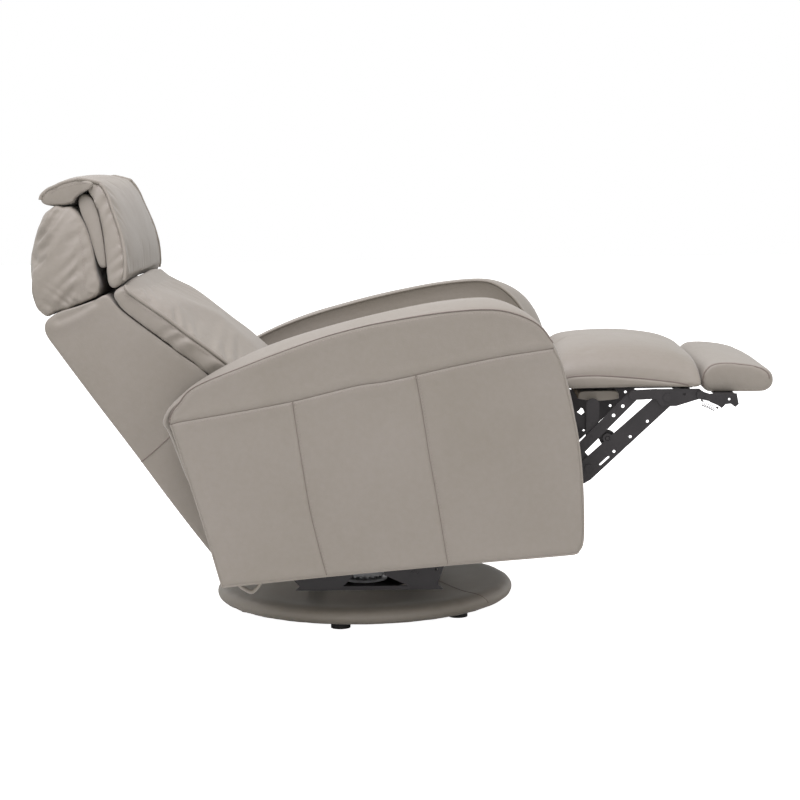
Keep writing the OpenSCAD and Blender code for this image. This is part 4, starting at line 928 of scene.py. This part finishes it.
along = np.linspace(0, 1, 220)
for side, tag in ((-1, "right"), (1, "left")):
    # the right arm's rows run backwards, so that its faces point outwards too
    order = slice(None) if side > 0 else slice(None, None, -1)
    arm_body = grid_mesh(f"{tag}_arm_cover", (arm_rows * (1, side, 1))[:, order], taupe_hide)
    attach(arm_body, "seat")
    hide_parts(f"{tag}_arm")
    for where, (rear, front, top_share, low_share) in PANELS.items():
        flat, from_sides, from_ends = panel(rear, front, top_share, low_share)
        y = side_depth(flat, np.minimum(from_sides, from_ends))
        made = grid_mesh(f"{tag}_arm_{where}_panel", upright(flat, y * side)[:, order], taupe_hide,
                         closed=False, cap=False)
        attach(made, "seat")
    share, w = crowd(150, 0.01), crowd(18, 0.06)
    upper, lower = even_line(TOP_SEAM, share), even_line(LOW_SEAM, share)
    flat = (1 - w)[:, None, None] * upper[None] + w[:, None, None] * lower[None]
    edge = np.minimum(w, 1 - w)[:, None] * np.linalg.norm(upper - lower, axis=1)[None, :]
    y = side_depth(flat, edge)
    strip = grid_mesh(f"{tag}_arm_strip", upright(flat, y * side)[:, order], taupe_hide, closed=False,
                      cap=False)
    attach(strip, "seat")
    # the arm's top, low and two upright seams are thin cords in painted seam shade
    for name, line, out in (("top", TOP_SEAM, 0.0002), ("low", LOW_SEAM, -0.0006),
                            ("first", SEAM_1, -0.0006), ("second", SEAM_2, -0.0006)):
        q = even_line(line, along)
        deep = side_depth(q, np.zeros(len(q))) if name != "top" else np.full(len(q), ARM_SEAM)
        cord_piece(f"{tag}_arm_{name}_seam", upright(q, (deep + out) * side), 0.0013, "seat", painted_seam_shade)
    for name, line in (("front", FRONT_EDGE), ("rear", REAR_EDGE), ("bottom", BOTTOM)):
        path = upright(even_line(line, along), (ARM_SEAM - 0.0002) * side)
        cord_piece(f"{tag}_arm_{name}_edge", path, 0.0021, "seat")
    inner_line = arm_ring(ARM_IN + 0.0008, INNER_FALL, 0.0005, ARM_DRAW)
    keep = (inner_line[:, 2] > 0.43) & (inner_line[:, 0] > -0.34) & (inner_line[:, 0] < 0.37)
    inner_line = inner_line[keep][np.argsort(inner_line[keep, 0])] * (1, side, 1)
    cord_piece(f"{tag}_arm_inner_piping", inner_line, 0.0028, "seat")
    # stitching just below the top and low seams, and beside the two upright seams
    for name, line, shift in (("top", TOP_SEAM, (0, -6.5)), ("low", LOW_SEAM, (0, -5)),
                              ("first", SEAM_1, (4.5, 0)), ("second", SEAM_2, (4.5, 0))):
        q = even_line([(x + shift[0], z + shift[1]) for x, z in line], along)[2:-2]
        y = side_depth(q, np.full(len(q), 0.0055)) - 0.0001
        stitches(f"{tag}_arm_{name}_stitches", upright(q, y * side), "seat")

# the leather's rolled end hangs out under each arm's rear lower corner
for side, tag in ((-1, "right"), (1, "left")):
    fold_way = smooth_line([(-0.236, 0.398, 0.126), (-0.226, 0.394, 0.115), (-0.207, 0.392, 0.105),
                            (-0.195, 0.394, 0.114), (-0.186, 0.398, 0.127)], 40) * (1, side, 1)
    thickness = 0.0045 - 0.0015 * np.abs(np.linspace(-1, 1, 40))
    cord_piece(f"{tag}_arm_leather_end", fold_way, thickness, "seat")

# Steelwork. Pressed mild steel links and plates, from the CAD as they are, with a satin black
# powder coat: its orange peel gives a fine relief, and its gloss wanders a little.
powder_black = mottled_material("black_powder_coat", NOISE, {"Scale": 22.0, "Detail": 4.0}, "#1c1a1b",
                                "#2a2728", (0.42, 0.58), stops=(0.3, 0.75),
                                relief=({"Scale": 420.0, "Detail": 2.0}, 0.2, 0.0004))

# Swivel rings, bolt, balls and springs. Turned and wound steel from the CAD, in bright zinc plating
# with faint patches of duller metal.
zinc_plate = mottled_material("zinc_plate", NOISE, {"Scale": 60.0, "Detail": 4.0}, "#9a9b9c", "#c9cacb",
                              (0.25, 0.42), metallic=1.0)

# Seat frame. Rails of birch plywood from the CAD, with long fibres that run fore and aft.
plywood = mottled_material("birch_plywood", NOISE, {"Scale": 3.0, "Detail": 5.0}, "#9a7448", "#c9a878", 0.65,
                           stretch=(6.0, 60.0, 60.0))

# Dust cloth and webbing. Black non-woven cloth under the disc and the legrest, and woven elastic
# webbing, both from the CAD. The weave is 2.5 mm wide, about twice the real one, so that it shows.
dust_cloth = mottled_material("black_dust_cloth", CELLS, {"Scale": 400.0}, "#161616", "#2c2b2b", 0.9,
                              relief=({"Scale": 400.0}, 0.3, 0.0006))

# Glides. Six moulded black nylon feet from the CAD, faintly scuffed.
nylon = mottled_material("black_nylon", NOISE, {"Scale": 140.0, "Detail": 3.0}, "#151515", "#262626", 0.5)

FINISHES = {"black_steel": powder_black, "zinc": zinc_plate, "plywood": plywood, "black_cloth": dust_cloth,
            "black_plastic": nylon, "leather": taupe_hide}
for part in frame["record"]["subparts"]:
    for holder in frame["nodes"][part["node"]].material_slots:
        holder.material = FINISHES[part["material_slot"]]
